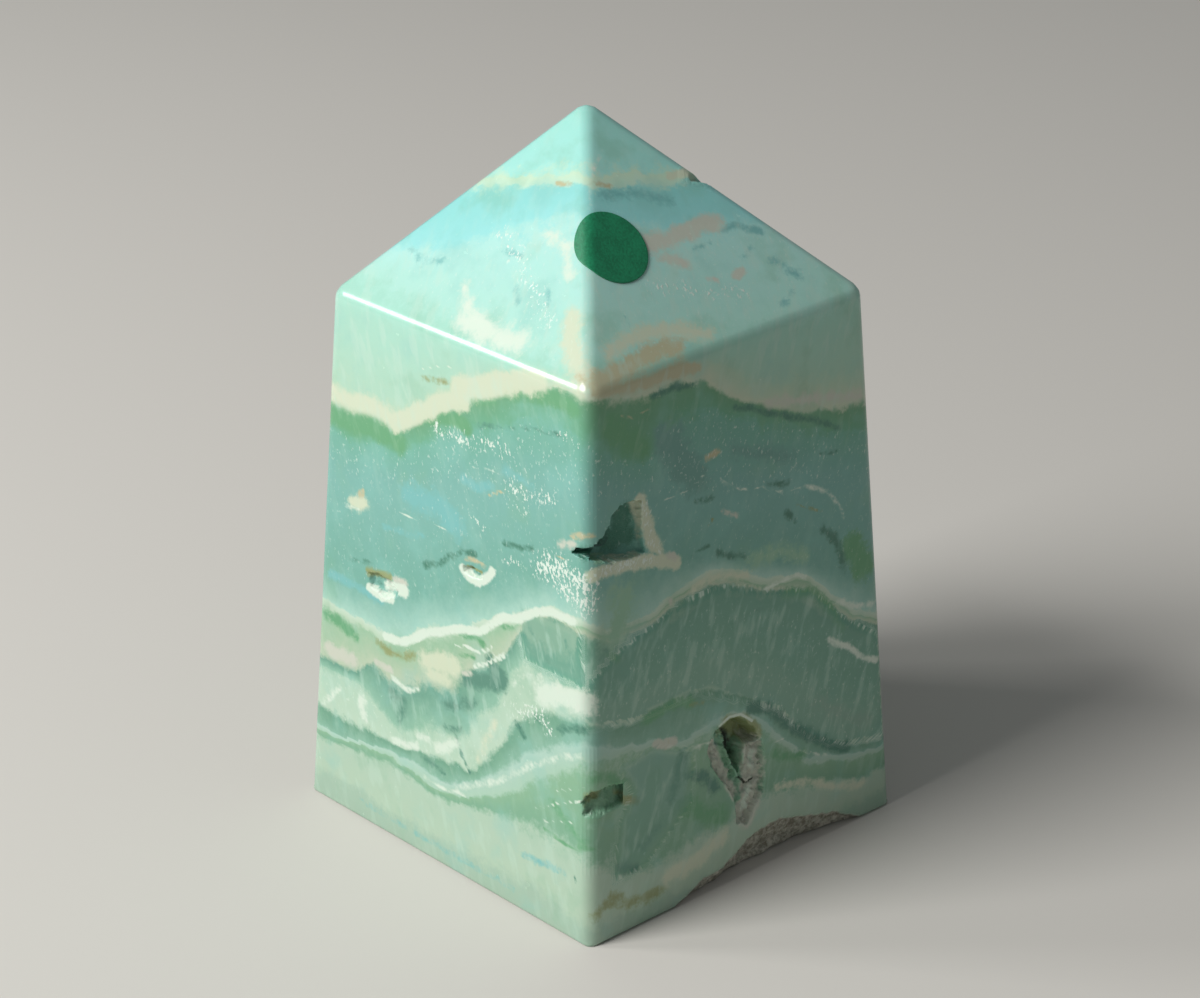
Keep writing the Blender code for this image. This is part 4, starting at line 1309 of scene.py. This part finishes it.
    def relief(
        self, work: Shading, place: bpy.types.NodeSocket, rough: bpy.types.NodeSocket, sugar: bpy.types.NodeSocket
    ) -> None:
        """Give broken and crystalline stone its fine relief."""
        crumb = work.noise(place, 0.35, 4.0, 0.7)
        height = work.math("ADD", work.math("MULTIPLY", crumb, rough), work.math("MULTIPLY", sugar, 0.08))
        bump = work.node("ShaderNodeBump")
        bump.inputs["Strength"].default_value = 0.8
        bump.inputs["Distance"].default_value = 0.0003
        work.feed(bump.inputs["Height"], height)
        work.feed(work.shader.inputs["Normal"], bump.outputs[0])


@dataclass(frozen=True)
class PaperFinish:
    """Green coated paper with a faint pressed grain."""

    dark: Colour = (0.003, 0.150, 0.062)
    light: Colour = (0.006, 0.215, 0.092)

    def make(self) -> bpy.types.Material:
        """Make the material."""
        work = Shading("green_paper")
        place = work.millimetres()
        grain = work.noise(place, 0.32, 3.0, 0.6)
        sheet = work.noise(place, 2.6, 2.0, 0.5)
        blend = work.step(work.math("ADD", work.math("MULTIPLY", grain, 0.6), work.math("MULTIPLY", sheet, 0.4)),
                          0.38, 0.62)
        work.feed(work.shader.inputs["Base Color"], work.mix(blend, self.dark, self.light))
        work.feed(work.shader.inputs["Roughness"], work.math("ADD", 0.34, work.math("MULTIPLY", grain, 0.3)))
        bump = work.node("ShaderNodeBump")
        bump.inputs["Strength"].default_value = 0.5
        bump.inputs["Distance"].default_value = 0.00008
        work.feed(bump.inputs["Height"], grain)
        work.feed(work.shader.inputs["Normal"], bump.outputs[0])
        return work.material


@dataclass(frozen=True)
class PaperDot:
    """The round paper dot, laid over the front ridge with its middle on the right facet."""

    radius: float = 5.0
    thickness: float = 0.13
    lift: float = 0.03
    down_ridge: float = 21.3
    off_ridge: float = 3.3
    spokes: int = 96
    rings: int = 22

    def fold(self, along: float, sideways: float) -> np.ndarray:
        """Return a point of the sheet laid over the rounded ridge.

        Args:
            along: how far down the ridge it is from the tip.
            sideways: how far it is from the ridge on the sheet, positive onto the right facet.

        Returns:
            The point.
        """
        down = unit(CUT.shoulder(Corner.FRONT) - CUT.apex)
        middle = unit(RIGHT_ROOF.outwards + LEFT_ROOF.outwards)
        half_turn = math.acos(float(RIGHT_ROOF.outwards @ middle))
        radius = CUT.ridge_rounding / math.tan(half_turn)
        rightwards = np.cross(middle, down)
        rightwards = rightwards * math.copysign(1.0, float(rightwards @ RIGHT_ROOF.outwards))
        axis = CUT.apex + down * along - middle * (radius / math.cos(half_turn))
        angle = max(-half_turn, min(half_turn, sideways / radius))
        normal = middle * math.cos(angle) + rightwards * math.sin(angle)
        tangent = rightwards * math.cos(angle) - middle * math.sin(angle)
        return axis + normal * (radius + self.lift) + tangent * (sideways - radius * angle)

    def build(self) -> bpy.types.Object:
        """Build the dot from a disc: rings inset, folded over the ridge, thickened and its rim softened."""
        bpy.ops.object.select_all(action="DESELECT")
        bpy.ops.mesh.primitive_circle_add(vertices=self.spokes, radius=self.radius, fill_type="NGON")
        dot = bpy.context.active_object
        dot.name = "green_paper_dot"
        bpy.ops.object.mode_set(mode="EDIT")
        bpy.ops.mesh.select_mode(type="FACE")
        bpy.ops.mesh.select_all(action="SELECT")
        for _ in range(self.rings):
            bpy.ops.mesh.inset(thickness=self.radius / (self.rings + 1))
        bpy.ops.mesh.poke()
        bpy.ops.object.mode_set(mode="OBJECT")
        for vertex in dot.data.vertices:
            vertex.co = self.fold(self.down_ridge - vertex.co.y, self.off_ridge + vertex.co.x) * MM
        bpy.ops.object.mode_set(mode="EDIT")
        bpy.ops.mesh.select_all(action="SELECT")
        bpy.ops.mesh.normals_make_consistent(inside=False)
        bpy.ops.object.mode_set(mode="OBJECT")
        upward = sum((face.normal for face in dot.data.polygons), Vector())
        if upward.dot(Vector(RIGHT_ROOF.outwards)) < 0:
            dot.data.flip_normals()
        thick = dot.modifiers.new("paper", "SOLIDIFY")
        thick.thickness = self.thickness * MM
        thick.offset = 1.0
        bpy.ops.object.modifier_apply(modifier=thick.name)
        soft = dot.modifiers.new("soft_rim", "BEVEL")
        soft.width = 0.03 * MM
        soft.segments = 2
        soft.limit_method = "ANGLE"
        soft.angle_limit = math.radians(50)
        bpy.ops.object.modifier_apply(modifier=soft.name)
        bpy.ops.object.select_all(action="DESELECT")
        dot.select_set(True)
        bpy.ops.object.shade_smooth_by_angle(angle=math.radians(50))
        return dot


@dataclass(frozen=True)
class Studio:
    """The camera at the photograph's angle, the floor and the lights."""

    azimuth: float = 47.6
    elevation: float = 23.7
    roll: float = -0.24
    distance: float = 421.4
    target: tuple[float, float, float] = (0.19, 0.21, 44.4)
    lens: float = 96.0
    floor_colour: Colour = (0.60, 0.575, 0.53)

    def add_camera(self) -> None:
        """Place the camera and make it the scene's own."""
        turn, rise, lean = (math.radians(v) for v in (self.azimuth, self.elevation, self.roll))
        right = Vector((math.cos(turn), math.sin(turn), 0.0))
        back = Vector((math.sin(turn) * math.cos(rise), -math.cos(turn) * math.cos(rise), math.sin(rise)))
        above = back.cross(right)
        leaning_right = right * math.cos(lean) + above * math.sin(lean)
        leaning_up = above * math.cos(lean) - right * math.sin(lean)
        camera = bpy.data.objects.new("camera", bpy.data.cameras.new("camera"))
        camera.data.lens = self.lens
        camera.data.sensor_width = 36.0
        camera.data.sensor_fit = "HORIZONTAL"
        camera.data.clip_start = 0.01
        camera.data.clip_end = 20.0
        place = Vector(self.target) + back * self.distance
        turned = Matrix((leaning_right, leaning_up, back)).transposed().to_4x4()
        camera.matrix_world = Matrix.Translation(place * MM) @ turned
        bpy.context.scene.collection.objects.link(camera)
        bpy.context.scene.camera = camera

    def add_floor(self) -> None:
        """Lay a plain pale floor that runs far past the picture."""
        bpy.ops.object.select_all(action="DESELECT")
        bpy.ops.mesh.primitive_plane_add(size=8.0, location=(0.0, 0.0, 0.0))
        floor = bpy.context.active_object
        floor.name = "floor"
        work = Shading("pale_floor")
        work.shader.inputs["Base Color"].default_value = (*self.floor_colour, 1.0)
        work.shader.inputs["Roughness"].default_value = 0.9
        work.shader.inputs["Specular IOR Level"].default_value = 0.2
        floor.data.materials.append(work.material)

    def add_light(self, name: str, place: tuple[float, float, float], size: float, power: float) -> None:
        """Hang a soft square light that faces the tower.

        Args:
            name: what it is for.
            place: where it hangs, in metres.
            size: its side, in metres.
            power: in watts.
        """
        lamp = bpy.data.lights.new(name, "AREA")
        lamp.size = size
        lamp.energy = power
        made = bpy.data.objects.new(name, lamp)
        made.location = place
        aim = Vector((0.0, 0.0, 0.05)) - Vector(place)
        made.rotation_euler = aim.to_track_quat("-Z", "Y").to_euler()
        bpy.context.scene.collection.objects.link(made)

    def set_up(self) -> None:
        """Make the whole studio."""
        self.add_camera()
        self.add_floor()
        self.add_light("key", (-0.22, -0.80, 0.74), 0.5, 12.2)
        self.add_light("edge", (-0.61, -0.58, 0.38), 0.16, 2.4)
        world = bpy.data.worlds.new("studio")
        bpy.context.scene.world = world
        world.use_nodes = True
        sky = world.node_tree.nodes["Background"]
        sky.inputs["Color"].default_value = (0.92, 0.97, 1.0, 1.0)
        sky.inputs["Strength"].default_value = 0.2
        bpy.context.scene.view_settings.view_transform = "Standard"


def place_piece(piece: bpy.types.Object, node: str, material: bpy.types.Material) -> None:
    """Dress a piece, hide the node that it replaces, and report it.

    Args:
        piece: the finished piece.
        node: the node that it replaces.
        material: its finish.
    """
    piece.data.materials.clear()
    piece.data.materials.append(material)
    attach(piece, "root")
    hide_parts(node)
    log.info("%s: %d faces", piece.name, len(piece.data.polygons))


def main() -> None:
    """Build the studio and the tower's pieces in order."""
    logging.basicConfig(level=logging.INFO, format="%(message)s")
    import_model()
    Studio().set_up()
    place_piece(Stone().build(), "calcite_tower", CalciteFinish().make())
    place_piece(PaperDot().build(), "paper_dot", PaperFinish().make())


if __name__ == "__main__":
    main()
